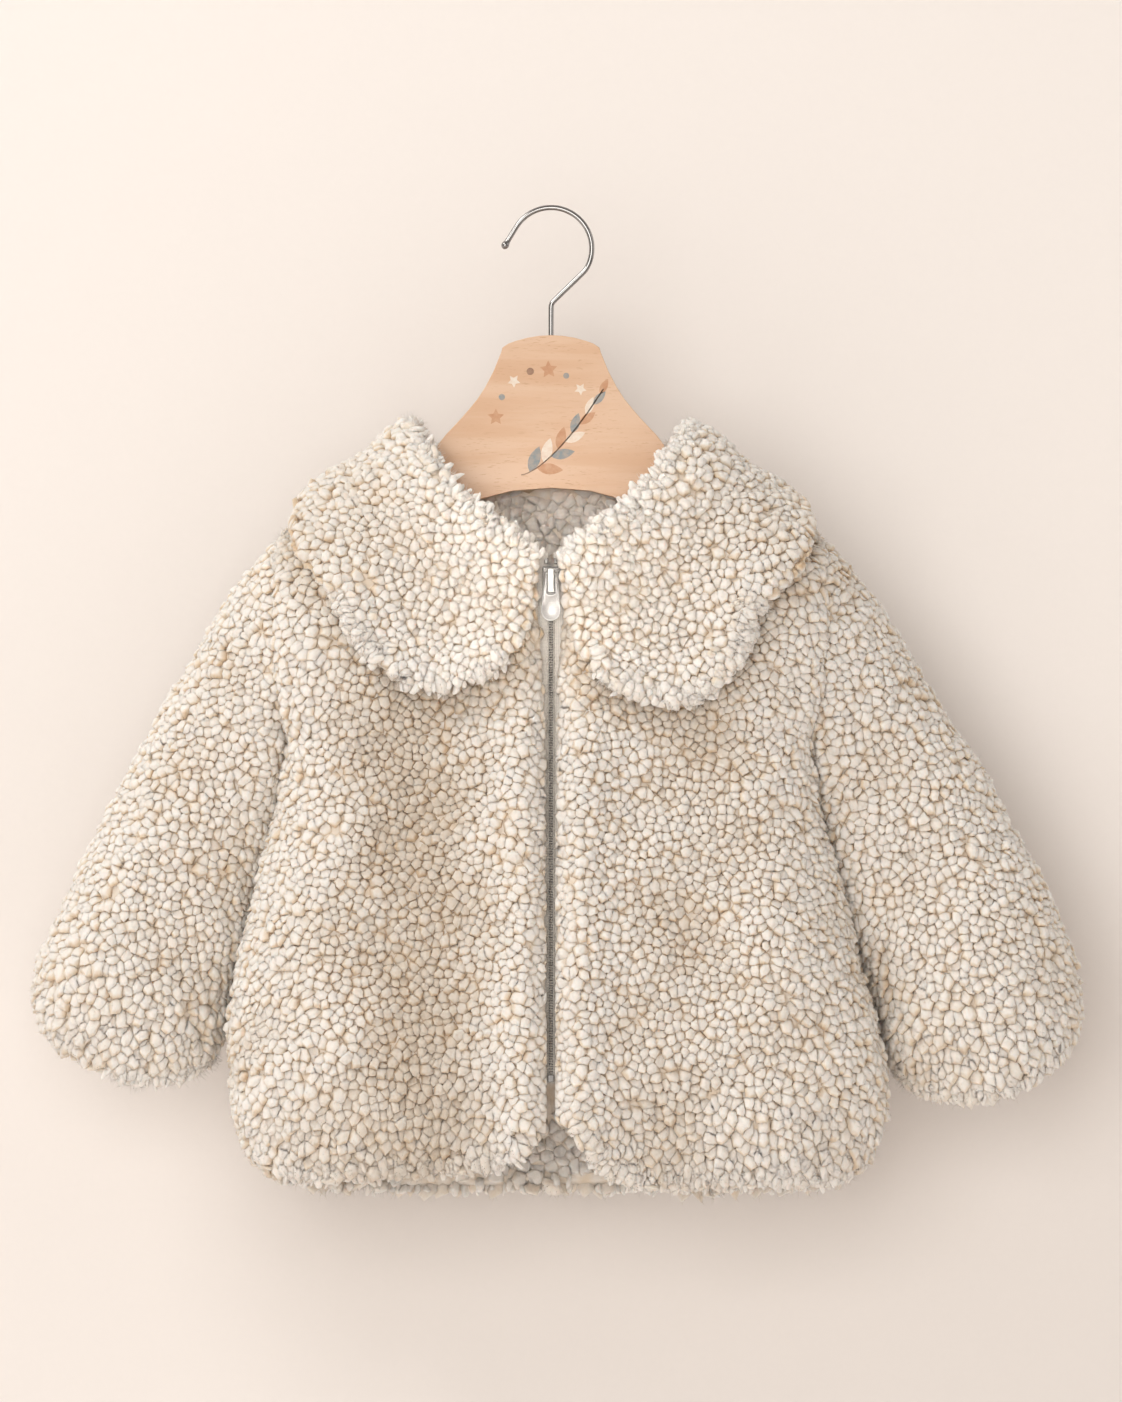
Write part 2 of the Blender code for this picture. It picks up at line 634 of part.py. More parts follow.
def run_over_ridge(drop):
    """Distance over the shoulder ridge at which the cloth has dropped this far."""
    quarter = np.arccos(np.clip(1 - drop / RIDGE_RADIUS, 0, 1)) * RIDGE_RADIUS
    return np.where(drop < RIDGE_RADIUS, quarter, RIDGE_RADIUS * (math.pi / 2 - 1) + drop)


def on_body(side, x, run):
    """Point of the body's pile face, run being the distance over the ridge, forwards above nought."""
    reach = np.abs(run)
    turned = RIDGE_RADIUS * (1 - np.cos(np.minimum(reach / RIDGE_RADIUS, math.pi / 2)))
    drop = turned + np.maximum(reach - RIDGE_RADIUS * math.pi / 2, 0)
    z = shoulder_height(x) - drop
    y = np.where(run > 0, -depth(side, FRONT, x, z), depth(side, BACK, x, z))
    return np.stack((SIDES[side] * x, y, z), axis=-1)


def collar_lines(side):
    """Neck edge and outer edge of half the collar, from centre front over the shoulder to centre back."""
    neck_x = smooth(COLLAR_FRONT["step"], FRONT_NECK["step"], FRONT_NECK["x"])
    neck_z = smooth(COLLAR_FRONT["step"], FRONT_NECK["step"], FRONT_NECK["z"])
    edge_x = COLLAR_FRONT[side + "_x"]
    edge_z = COLLAR_FRONT[side + "_z"]
    neck_run = run_over_ridge(np.maximum(shoulder_height(neck_x) - neck_z, 0))
    edge_run = run_over_ridge(np.maximum(shoulder_height(edge_x) - edge_z, 0))
    back_x = COLLAR_BACK["neck_x"]
    back_run = -run_over_ridge(shoulder_height(back_x) - back_neck_height(back_x))
    neck = np.column_stack((np.concatenate((neck_x, back_x)), np.concatenate((neck_run, back_run))))
    edge = np.column_stack(
        (
            np.concatenate((edge_x, COLLAR_BACK["edge_x"])),
            np.concatenate((edge_run, -COLLAR_BACK["edge_run"])),
        )
    )
    return neck, edge


def collar(side):
    """Pile face and backing face of half the collar, laid on the body's own surface."""
    neck, edge = collar_lines(side)
    part = np.linspace(0, 1, COLLAR_RINGS)
    flat = neck[:, None] + (edge - neck)[:, None] * part[None, :, None]
    laid = on_body(side, flat[..., 0], flat[..., 1])
    outwards = laid - np.array((0.0, 0.0, ARMHOLE_BOTTOM_Z))
    normals = grid_normals(laid, outwards)
    for row, keep in COLLAR_EDGE_TURN:
        normals[row, :, 0] *= keep
    normals /= np.linalg.norm(normals, axis=2, keepdims=True)
    roll = np.sin(math.pi * np.clip(part / COLLAR_ROLL_END, 0, 1))
    gap = COLLAR_SEAM_GAP + (COLLAR_LAY_GAP - COLLAR_SEAM_GAP) * ramp(part, 0, COLLAR_ROLL_END / 2)
    flare = np.concatenate((COLLAR_FRONT["flare"], COLLAR_BACK["flare"]))
    stand = ((gap + COLLAR_ROLL * roll) + flare[:, None] * part**2)[..., None]
    backing = laid + stand * normals
    points = laid + (stand + PILE_WALL) * normals
    return points, backing


# ---- Cloth pieces ----


def wall(name, pile, backing, material, collection, closed_round=False):
    """A cloth piece: a wall lofted from pile face to backing face, with a rim round each open edge."""
    rows, columns = pile.shape[:2]
    mesh = bmesh.new()
    faces = [[[mesh.verts.new(point * MM) for point in row] for row in grid] for grid in (pile, backing)]
    spans = columns if closed_round else columns - 1
    for i in range(rows - 1):
        for j in range(spans):
            k = (j + 1) % columns
            for grid in faces:
                mesh.faces.new((grid[i][j], grid[i][k], grid[i + 1][k], grid[i + 1][j]))
    outside, inside = faces
    for i in (0, rows - 1):
        for j in range(spans):
            k = (j + 1) % columns
            mesh.faces.new((outside[i][j], outside[i][k], inside[i][k], inside[i][j]))
    if not closed_round:
        for j in (0, columns - 1):
            for i in range(rows - 1):
                mesh.faces.new((outside[i][j], outside[i + 1][j], inside[i + 1][j], inside[i][j]))
    bmesh.ops.recalc_face_normals(mesh, faces=mesh.faces)
    if mesh.calc_volume(signed=True) < 0:
        bmesh.ops.reverse_faces(mesh, faces=mesh.faces)
    data = bpy.data.meshes.new(name)
    mesh.to_mesh(data)
    mesh.free()
    return add_object(name, data, material, collection)


def make_cloth(fur, collection):
    wall("back", *back_panel(), fur, collection)
    for side in SIDES:
        wall("front_" + side, *front_panel(side), fur, collection)
        wall("sleeve_" + side, *sleeve(side), fur, collection, closed_round=True)
        wall("collar_" + side, *collar(side), fur, collection)


# ---- Zip ----


def tape_face_y(z):
    """Front face of the zip tapes, just behind the backing of the fronts' edges."""
    opening = smooth(z, FRONT_OPENING["z"], FRONT_OPENING["half"])
    edges = np.minimum(depth("left", FRONT, -opening, z), depth("right", FRONT, opening, z))
    return PILE_WALL + RUNNING_GAP - edges


def band(name, side, lines, material, collection):
    """A strip down the zip with a square section; lines gives inner x, outer x, front y, back y at each z."""
    z, near, far, front, back = lines
    sign = SIDES[side]
    pile = np.stack((np.stack((sign * near, front, z), -1), np.stack((sign * far, front, z), -1)), axis=1)
    backing = pile.copy()
    backing[..., 1] = np.stack((back, back), axis=1)
    return wall(name, pile, backing, material, collection)


def make_tapes(materials, collection):
    z = np.linspace(TAPE_TOP_Z, TAPE_BOTTOM_Z, TAPE_ROWS)
    z = np.sort(np.concatenate((z, TAPE_SPLIT_Z)))[::-1]
    front = tape_face_y(z)
    near = SEAM_GAP / 2 + TAPE_SPLIT * ramp(z, TAPE_SPLIT_Z[1], TAPE_SPLIT_Z[0])
    far = np.full(len(z), TAPE_WIDTH)
    coil_z = np.linspace(COIL_TOP_Z, COIL_BOTTOM_Z, TAPE_ROWS)
    coil_back = tape_face_y(coil_z) - SEAM_GAP
    coil_near = np.full(len(coil_z), COIL_INNER)
    for side in SIDES:
        tape = (z, near, far, front, front + TAPE_THICKNESS)
        band("zip_tape_" + side, side, tape, materials["zip_tape"], collection)
        coil = (coil_z, coil_near, coil_near + COIL_WIDTH, coil_back - COIL_HEIGHT, coil_back)
        band("zip_coil_" + side, side, coil, materials["zip_coil"], collection)


def block(name, low, high, bevel, material, collection):
    """A box between two corners with rounded edges."""
    low, high = np.array(low), np.array(high)
    bpy.ops.mesh.primitive_cube_add(size=1, location=(low + high) / 2 * MM)
    item = bpy.context.object
    item.name = name
    item.dimensions = (high - low) * MM
    bpy.ops.object.transform_apply(location=False, rotation=False, scale=True)
    if bevel:
        round_edges(item, bevel, 2, 30)
    move_to(item, collection)
    if material:
        item.data.materials.append(material)
    return item


def move_to(item, collection):
    for old in list(item.users_collection):
        old.objects.unlink(item)
    collection.objects.link(item)


def combine(item, other, operation):
    modifier = item.modifiers.new(operation.lower(), "BOOLEAN")
    modifier.operation = operation
    modifier.object = other
    other.hide_render = True
    other.display_type = "WIRE"


def make_slider(materials, collection, cutters):
    """The slider: a channelled front plate, a post between the tapes, a back plate and the bridge."""
    tapes = tape_face_y(np.array((SLIDER_BOTTOM_Z, SLIDER_TOP_Z)))
    tape_y = float(np.min(tapes))
    tape_back = float(np.max(tapes)) + TAPE_THICKNESS
    roof = tape_y - SEAM_GAP - COIL_HEIGHT - RUNNING_GAP
    face = roof - SLIDER_PLATE
    rear = tape_back + RUNNING_GAP
    plate_back = rear + SLIDER_PLATE
    eye = face - BRIDGE_CLEAR
    half = SLIDER_WIDTH / 2
    channel = SLIDER_CHANNEL_WIDTH / 2
    bridge = BRIDGE_WIDTH / 2
    post_low, post_high = POST_Z - POST_LENGTH / 2, POST_Z + POST_LENGTH / 2

    # The front plate, then what is cut from it and joined to it: corners, bevel and operation
    front_low, front_high = (-half, face, SLIDER_BOTTOM_Z), (half, tape_y - RUNNING_GAP, SLIDER_TOP_Z)
    slider = block("zip_slider", front_low, front_high, SLIDER_BEVEL, materials["zip_metal"], collection)
    boxes = (
        ("slider_channel", (-channel, roof, SLIDER_BOTTOM_Z - CUT_PAST),
         (channel, tape_y + CUT_PAST, SLIDER_TOP_Z + CUT_PAST), 0, "DIFFERENCE"),
        ("slider_post", (-POST_WIDTH / 2, roof - JOIN, post_low),
         (POST_WIDTH / 2, plate_back - JOIN, post_high), 0, "UNION"),
        ("slider_back_plate", (-half, rear, SLIDER_BOTTOM_Z),
         (half, plate_back, SLIDER_TOP_Z), SLIDER_BEVEL, "UNION"),
        ("slider_bridge", (-bridge, eye - BRIDGE_STRAP, BRIDGE_BOTTOM_Z),
         (bridge, face + JOIN, BRIDGE_TOP_Z), BRIDGE_BEVEL, "UNION"),
        ("bridge_eye", (-BRIDGE_WIDTH, eye, BRIDGE_BOTTOM_Z + BRIDGE_STRAP),
         (BRIDGE_WIDTH, face, BRIDGE_TOP_Z - BRIDGE_STRAP), 0, "DIFFERENCE"),
    )
    for name, low, high, bevel, operation in boxes:
        combine(slider, block(name, low, high, bevel, None, cutters), operation)
    slider.data.shade_smooth()
    slider.data.set_sharp_from_angle(angle=math.radians(40))
    return face


def half_round(centre_y, half_width, reach, steps):
    """Points of a rounded lower end, from its right to its left."""
    angles = [math.pi * step / steps for step in range(steps + 1)]
    return [(half_width * math.cos(angle), centre_y - reach * math.sin(angle)) for angle in angles]


def make_pull(face, materials, collection):
    """The pull tab, its origin on the bar that turns in the slider's bridge."""
    hinge_y = face - PULL_TO_PLATE - PULL_THICKNESS / 2
    hinge_z = BRIDGE_TOP_Z - BRIDGE_STRAP - RUNNING_GAP - PULL_BAR_HEIGHT / 2
    bar = PULL_BAR_HEIGHT / 2
    top = PULL_TOP_WIDTH / 2
    radius = PULL_BOTTOM_WIDTH / 2
    slot = PULL_SLOT_WIDTH / 2
    slot_end = PULL_SLOT_ROUNDING - bar - PULL_SLOT_LENGTH
    curve = bpy.data.curves.new("zip_pull", "CURVE")
    curve.dimensions = "2D"
    curve.fill_mode = "BOTH"
    curve.extrude = PULL_THICKNESS / 2 * MM
    add_outline(curve, [(-top, bar), (top, bar)] + half_round(radius - PULL_LENGTH, radius, radius, 12))
    add_outline(curve, [(-slot, -bar), (slot, -bar)] + half_round(slot_end, slot, PULL_SLOT_ROUNDING, 6))
    pull = curve_to_mesh_object("zip_pull", curve, materials["zip_metal"], collection)
    pull.rotation_euler = (math.pi / 2, 0, 0)
    pull.location = (0, hinge_y * MM, hinge_z * MM)
    round_edges(pull, PULL_BEVEL, 1, 60)


def round_edges(item, width, segments, least_degrees):
    rounding = item.modifiers.new("rounded edges", "BEVEL")
    rounding.width = width * MM
    rounding.segments = segments
    rounding.limit_method = "ANGLE"
    rounding.angle_limit = math.radians(least_degrees)


def add_outline(curve, points):
    spline = curve.splines.new("POLY")
    spline.points.add(len(points) - 1)
    for place, (x, y) in zip(spline.points, points):
        place.co = (x * MM, y * MM, 0, 1)
    spline.use_cyclic_u = True


def curve_to_mesh_object(name, curve, material, collection):
    """Turn a curve into a closed mesh object in the same place."""
    holder = bpy.data.objects.new(name + "_curve", curve)
    bpy.context.scene.collection.objects.link(holder)
    evaluated = holder.evaluated_get(bpy.context.evaluated_depsgraph_get())
    mesh = bpy.data.meshes.new_from_object(evaluated)
    bpy.data.objects.remove(holder)
    welder = bmesh.new()
    welder.from_mesh(mesh)
    bmesh.ops.remove_doubles(welder, verts=welder.verts, dist=0.00001)
    bmesh.ops.recalc_face_normals(welder, faces=welder.faces)
    welder.to_mesh(mesh)
    welder.free()
    mesh.name = name
    mesh.materials.clear()
    return add_object(name, mesh, material, collection)


def make_zip_ends(materials, collection):
    """Top stops above the slider and the retaining box that closes the coils' foot."""
    metal = materials["zip_metal"]
    stop_face = float(tape_face_y(np.array(STOP_Z))) - SEAM_GAP
    for side, sign in SIDES.items():
        near = SEAM_GAP / 2 + TAPE_SPLIT
        ends = sorted((sign * near, sign * (near + STOP_WIDTH)))
        low = (ends[0], stop_face - STOP_HEIGHT, STOP_Z - STOP_LENGTH / 2)
        high = (ends[1], stop_face, STOP_Z + STOP_LENGTH / 2)
        block("zip_stop_" + side, low, high, STOP_BEVEL, metal, collection)
    box_top = COIL_BOTTOM_Z - SEAM_GAP
    heights = np.array((box_top, box_top - BOX_LENGTH))
    box_face = float(np.min(tape_face_y(heights))) - SEAM_GAP
    low = (-BOX_WIDTH / 2, box_face - BOX_HEIGHT, box_top - BOX_LENGTH)
    block("zip_box", low, (BOX_WIDTH / 2, box_face, box_top), BOX_BEVEL, metal, collection)


# ---- Hanger ----


def arm_top(x):
    """Upper edge of the hanger's arm, a seat gap under the shoulder's backing."""
    slope = SHOULDER_SLOPE + 2 * SHOULDER_DROOP * (x - SHOULDER_REFERENCE_X)
    return shoulder_height(x) - (PILE_WALL + ARM_SEAT_GAP) * math.hypot(1, slope)


def board_half_outline():
    """Right half of the board's outline, from the top of its dome round to the middle of its arch."""
    rise = BOARD_DOME_Z - BOARD_CORNER_Z
    dome = [(BOARD_CORNER_X * part, BOARD_DOME_Z - rise * part**2) for part in (0, 0.25, 0.5, 0.75, 0.92)]
    eased = [(BOARD_CORNER_X + out, BOARD_CORNER_Z - down) for out, down in BOARD_CORNER_DROPS]
    flank_x, flank_z = zip(eased[-1], *BOARD_FLANK)
    flank = [(x, float(smooth(x, flank_x, flank_z))) for x in np.linspace(flank_x[0], flank_x[-1], 10)]
    arm = [(x, arm_top(x)) for x in np.linspace(ARM_START_X, ARM_END_X - ARM_HEIGHT_END / 3, 9)]
    radius = ARM_HEIGHT_END / 2
    tip_x = ARM_END_X - radius
    tip_z = arm_top(ARM_END_X) - radius + ARM_TIP_LIFT
    tip = [
        (tip_x + radius * math.cos(angle), tip_z + radius * math.sin(angle))
        for angle in np.radians(np.linspace(40, -110, 8))
    ]
    return dome + eased[:1] + flank + arm + tip + list(BOARD_LOWER_EDGE)


def make_board(materials, collection, cutters):
    half = board_half_outline()
    outline = half + [(-x, z) for x, z in half[-2:0:-1]]
    curve = bpy.data.curves.new("hanger_board", "CURVE")
    curve.dimensions = "2D"
    curve.fill_mode = "BOTH"
    curve.extrude = BOARD_THICKNESS / 2 * MM
    add_outline(curve, outline)
    board = curve_to_mesh_object("hanger_board", curve, materials["beech"], collection)
    board.rotation_euler = (math.pi / 2, 0, 0)
    round_edges(board, BOARD_BEVEL, 2, 70)
    top = BOARD_DOME_Z + CUT_PAST
    bpy.ops.mesh.primitive_cylinder_add(
        vertices=16,
        radius=SOCKET_DIAMETER / 2 * MM,
        depth=(top - SOCKET_FLOOR_Z) * MM,
        location=(0, 0, (top + SOCKET_FLOOR_Z) / 2 * MM),
    )
    socket = bpy.context.object
    socket.name = "hook_socket"
    move_to(socket, cutters)
    combine(board, socket, "DIFFERENCE")


def arc(centre, radius, start, end, steps):
    """Points on an arc in the X-Z plane, each with the wire's full width."""
    angles = np.linspace(start, end, steps)
    return [(centre[0] + radius * math.cos(a), centre[1] + radius * math.sin(a), 1.0) for a in angles]


def hook_route():
    """Centre line of the hook's wire from its ball tip to its foot in the board, as x, z, swell."""
    start, turn, end = (math.radians(angle) for angle in (HOOK_START_DEG, HOOK_TURN_DEG, HOOK_END_DEG))
    centre = np.array((0.0, WIRE_DIAMETER / 2 - HOOK_RADIUS))
    crown = arc(centre, HOOK_RADIUS, start, turn, 26)
    towards_turn = np.array((math.cos(turn), math.sin(turn)))
    small_centre = centre + (HOOK_RADIUS - HOOK_SMALL_RADIUS) * towards_turn
    tight = arc(small_centre, HOOK_SMALL_RADIUS, turn, end, 5)[1:]

    tip = np.array(HOOK_TIP)
    inwards = np.array(crown[0][:2]) - tip
    inwards /= np.linalg.norm(inwards)
    full_swell = HOOK_BALL_RADIUS / (WIRE_DIAMETER / 2)
    ball = []
    for angle in np.radians(HOOK_BALL_DEGREES):
        place = tip + inwards * HOOK_BALL_RADIUS * math.sin(angle)
        ball.append((*place, max(full_swell * math.cos(angle), 1.0 if angle > 0 else 0.0)))

    # A straight run down to the stem, and a small bend into it
    last = np.array(tight[-1][:2])
    run = np.array((math.sin(end), -math.cos(end)))
    corner = last + run * last[0] / -run[0]
    lean = math.pi / 2 + end
    bend_z = corner[1] - HOOK_BEND_RADIUS * math.tan(lean / 2)
    bend = arc((HOOK_BEND_RADIUS, bend_z), HOOK_BEND_RADIUS, math.pi - lean, math.pi, 5)
    return ball + crown + tight + bend + [(0.0, HOOK_FOOT_Z, 1.0)]


def make_hook(materials, collection):
    route = hook_route()
    curve = bpy.data.curves.new("hanger_hook", "CURVE")
    curve.dimensions = "3D"
    curve.bevel_depth = WIRE_DIAMETER / 2 * MM
    curve.bevel_resolution = 2
    curve.use_fill_caps = True
    spline = curve.splines.new("POLY")
    spline.points.add(len(route) - 1)
    for place, (x, z, swell) in zip(spline.points, route):
        place.co = (x * MM, 0, z * MM, 1)
        place.radius = swell
    curve.materials.append(materials["hook_steel"])
    hook = bpy.data.objects.new("hanger_hook", curve)
    collection.objects.link(hook)


def main():
    clear_scene()
    collection = new_collection(COLLECTION_NAME)
    cutters = new_collection("cutters")
    materials = {name: make_material(name) for name in MATERIALS}
    make_cloth(materials["fur"], collection)
    make_tapes(materials, collection)
    make_zip_ends(materials, collection)
    face = make_slider(materials, collection, cutters)
    make_pull(face, materials, collection)
    make_board(materials, collection, cutters)
    make_hook(materials, collection)


main()
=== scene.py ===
"""The looks of a toddler's curly-pile coat on its hanger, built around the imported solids.

Run as a script. It makes the pile, the zip, the hanger and a plain stage, in the solids' frame: x runs
to the right as seen from the front, y to the back and z up, in metres from inside the hook's crown.
"""

import math
from contextlib import contextmanager

import bmesh
import bpy
import numpy as np
from bpy.props import FloatProperty, FloatVectorProperty, IntProperty, PointerProperty
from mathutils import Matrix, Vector


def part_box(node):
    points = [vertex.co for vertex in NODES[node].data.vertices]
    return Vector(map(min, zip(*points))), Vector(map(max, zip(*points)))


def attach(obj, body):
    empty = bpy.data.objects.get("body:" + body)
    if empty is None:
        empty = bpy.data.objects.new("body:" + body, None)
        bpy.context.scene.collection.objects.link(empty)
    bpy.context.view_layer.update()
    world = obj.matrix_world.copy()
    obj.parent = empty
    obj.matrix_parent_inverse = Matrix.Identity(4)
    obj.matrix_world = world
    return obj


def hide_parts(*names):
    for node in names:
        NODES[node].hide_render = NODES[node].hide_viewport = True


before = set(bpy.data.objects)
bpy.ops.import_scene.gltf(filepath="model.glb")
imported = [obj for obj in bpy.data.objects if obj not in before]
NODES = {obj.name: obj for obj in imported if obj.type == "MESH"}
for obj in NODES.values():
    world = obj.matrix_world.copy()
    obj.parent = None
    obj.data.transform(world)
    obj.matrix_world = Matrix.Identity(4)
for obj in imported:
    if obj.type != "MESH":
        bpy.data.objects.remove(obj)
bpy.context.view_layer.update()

bl_info = {
    "name": "Curly-pile coat on a hanger",
    "version": (1, 0, 0),
    "blender": (4, 5, 0),
    "location": "3D View > Sidebar > Coat",
    "description": "Pile, zip, hanger and stage for a toddler's curly-pile coat",
    "category": "Object",
}

MM = 0.001
SIDES = ("left", "right")


# ---------------------------------------------------------------- node trees


class Signal:
    """One output in a node tree. Arithmetic on it adds Math nodes."""

    def __init__(self, graph, socket):
        self.graph = graph
        self.socket = socket

    def __add__(self, other):
        return self.graph.math("ADD", self, other)

    def __radd__(self, other):
        return self.graph.math("ADD", other, self)

    def __sub__(self, other):
        return self.graph.math("SUBTRACT", self, other)

    def __rsub__(self, other):
        return self.graph.math("SUBTRACT", other, self)

    def __mul__(self, other):
        return self.graph.math("MULTIPLY", self, other)

    def __rmul__(self, other):
        return self.graph.math("MULTIPLY", other, self)

    def __truediv__(self, other):
        return self.graph.math("DIVIDE", self, other)

    def __rtruediv__(self, other):
        return self.graph.math("DIVIDE", other, self)


class Graph:
    """A node tree under construction."""

    def __init__(self, tree):
        self.tree = tree

    def add(self, kind, settings=None, values=None, out=0):
        """Adds a node, sets it, feeds its sockets, and returns the named or numbered output."""
        node = self.tree.nodes.new(kind)
        for name, value in (settings or {}).items():
            if name == "stops":
                self._set_stops(node.color_ramp, value)
            else:
                setattr(node, name, value)
        for key, value in (values or {}).items():
            self.feed(self._pick(node.inputs, key), value)
        return Signal(self, self._pick(node.outputs, out))

    def feed(self, socket, value):
        if isinstance(value, Signal):
            self.tree.links.new(value.socket, socket)
        else:
            socket.default_value = value

    @staticmethod
    def _pick(sockets, key):
        """A socket by its number, or by its name among those in use."""
        if isinstance(key, int):
            return sockets[key]
        return next(s for s in sockets if s.name == key and s.enabled)

    @staticmethod
    def _set_stops(color_ramp, stops):
        elements = color_ramp.elements
        while len(elements) < len(stops):
            elements.new(1.0)
        for element, (place, color) in zip(elements, stops):
            element.position = place
            element.color = (*color, 1.0)

    def math(self, operation, *operands):
        return self.add("ShaderNodeMath", {"operation": operation}, dict(enumerate(operands)))

    def vector(self, operation, a, b=None, scale=None, out="Vector"):
        values = {0: a, 1: b, "Scale": scale}
        given = {key: value for key, value in values.items() if value is not None}
        return self.add("ShaderNodeVectorMath", {"operation": operation}, given, out)

    def join(self, **parts):
        """A vector from its X, Y and Z, each 0 where it isn't given."""
        return self.add("ShaderNodeCombineXYZ", None, parts)

    def part(self, vector, axis):
        return self.add("ShaderNodeSeparateXYZ", None, {"Vector": vector}, axis)

    def ramp(self, value, low, high, to_low=0.0, to_high=1.0):
        """value's smooth step from low to high, as a number from to_low to to_high."""
        settings = {"interpolation_type": "SMOOTHSTEP"}
        values = {"Value": value, "From Min": low, "From Max": high, "To Min": to_low, "To Max": to_high}
        return self.add("ShaderNodeMapRange", settings, values, "Result")

    def colors(self, value, stops):
        """The colour that value falls on, between the stops' places and colours."""
        return self.add("ShaderNodeValToRGB", {"stops": stops}, {"Fac": value}, "Color")

    def mix(self, factor, a, b, blend="MIX"):
        """Two colours, mixed."""
        settings = {"data_type": "RGBA", "blend_type": blend}
        a, b = (c if isinstance(c, Signal) else (*c, 1.0) for c in (a, b))
        return self.add("ShaderNodeMix", settings, {"Factor": factor, "A": a, "B": b}, "Result")

    def noise(self, vector, scale, detail=2.0, roughness=0.5, distortion=0.0, out="Fac"):
        """Soft random patches. scale is how many there are to a metre."""
        values = {"Vector": vector, "Scale": scale, "Detail": detail, "Roughness": roughness,
                  "Distortion": distortion}
        return self.add("ShaderNodeTexNoise", None, values, out)


class Finish(Graph):
    """A material under construction. Constants go on the shader's own sockets."""

    def __init__(self, name, **constants):
        self.material = bpy.data.materials.new(name)
        self.material.use_nodes = True
        super().__init__(self.material.node_tree)
        self.shader = self.tree.nodes["Principled BSDF"]
        for socket, value in constants.items():
            self.set(socket.replace("_", " "), value)
        self.place = self.add("ShaderNodeTexCoord", out="Object")

    def set(self, socket, value):
        self.feed(self.shader.inputs[socket], value)

    def surface(self, name):
        """A named attribute of the surface, as a number."""
        return self.add("ShaderNodeAttribute", {"attribute_name": name}, out="Fac")

    def stretched(self, scale, tilt=0.0):
        """The place on the object, turned by tilt about Y, with each direction scaled by its own number."""
        values = {"Vector": self.place, "Rotation": (0.0, tilt, 0.0), "Scale": scale}
        return self.add("ShaderNodeMapping", None, values, "Vector")

    def stripes(self, axis, scale, distortion):
        """Even bands across one axis, a little uneven. scale sets how many there are to a metre."""
        settings = {"wave_type": "BANDS", "bands_direction": axis}
        values = {"Vector": self.place, "Scale": scale, "Distortion": distortion, "Detail": 1.0}
        return self.add("ShaderNodeTexWave", settings, values, "Fac")

    def bump(self, height, distance, strength):
        values = {"Height": height, "Distance": distance, "Strength": strength}
        self.set("Normal", self.add("ShaderNodeBump", None, values, "Normal"))


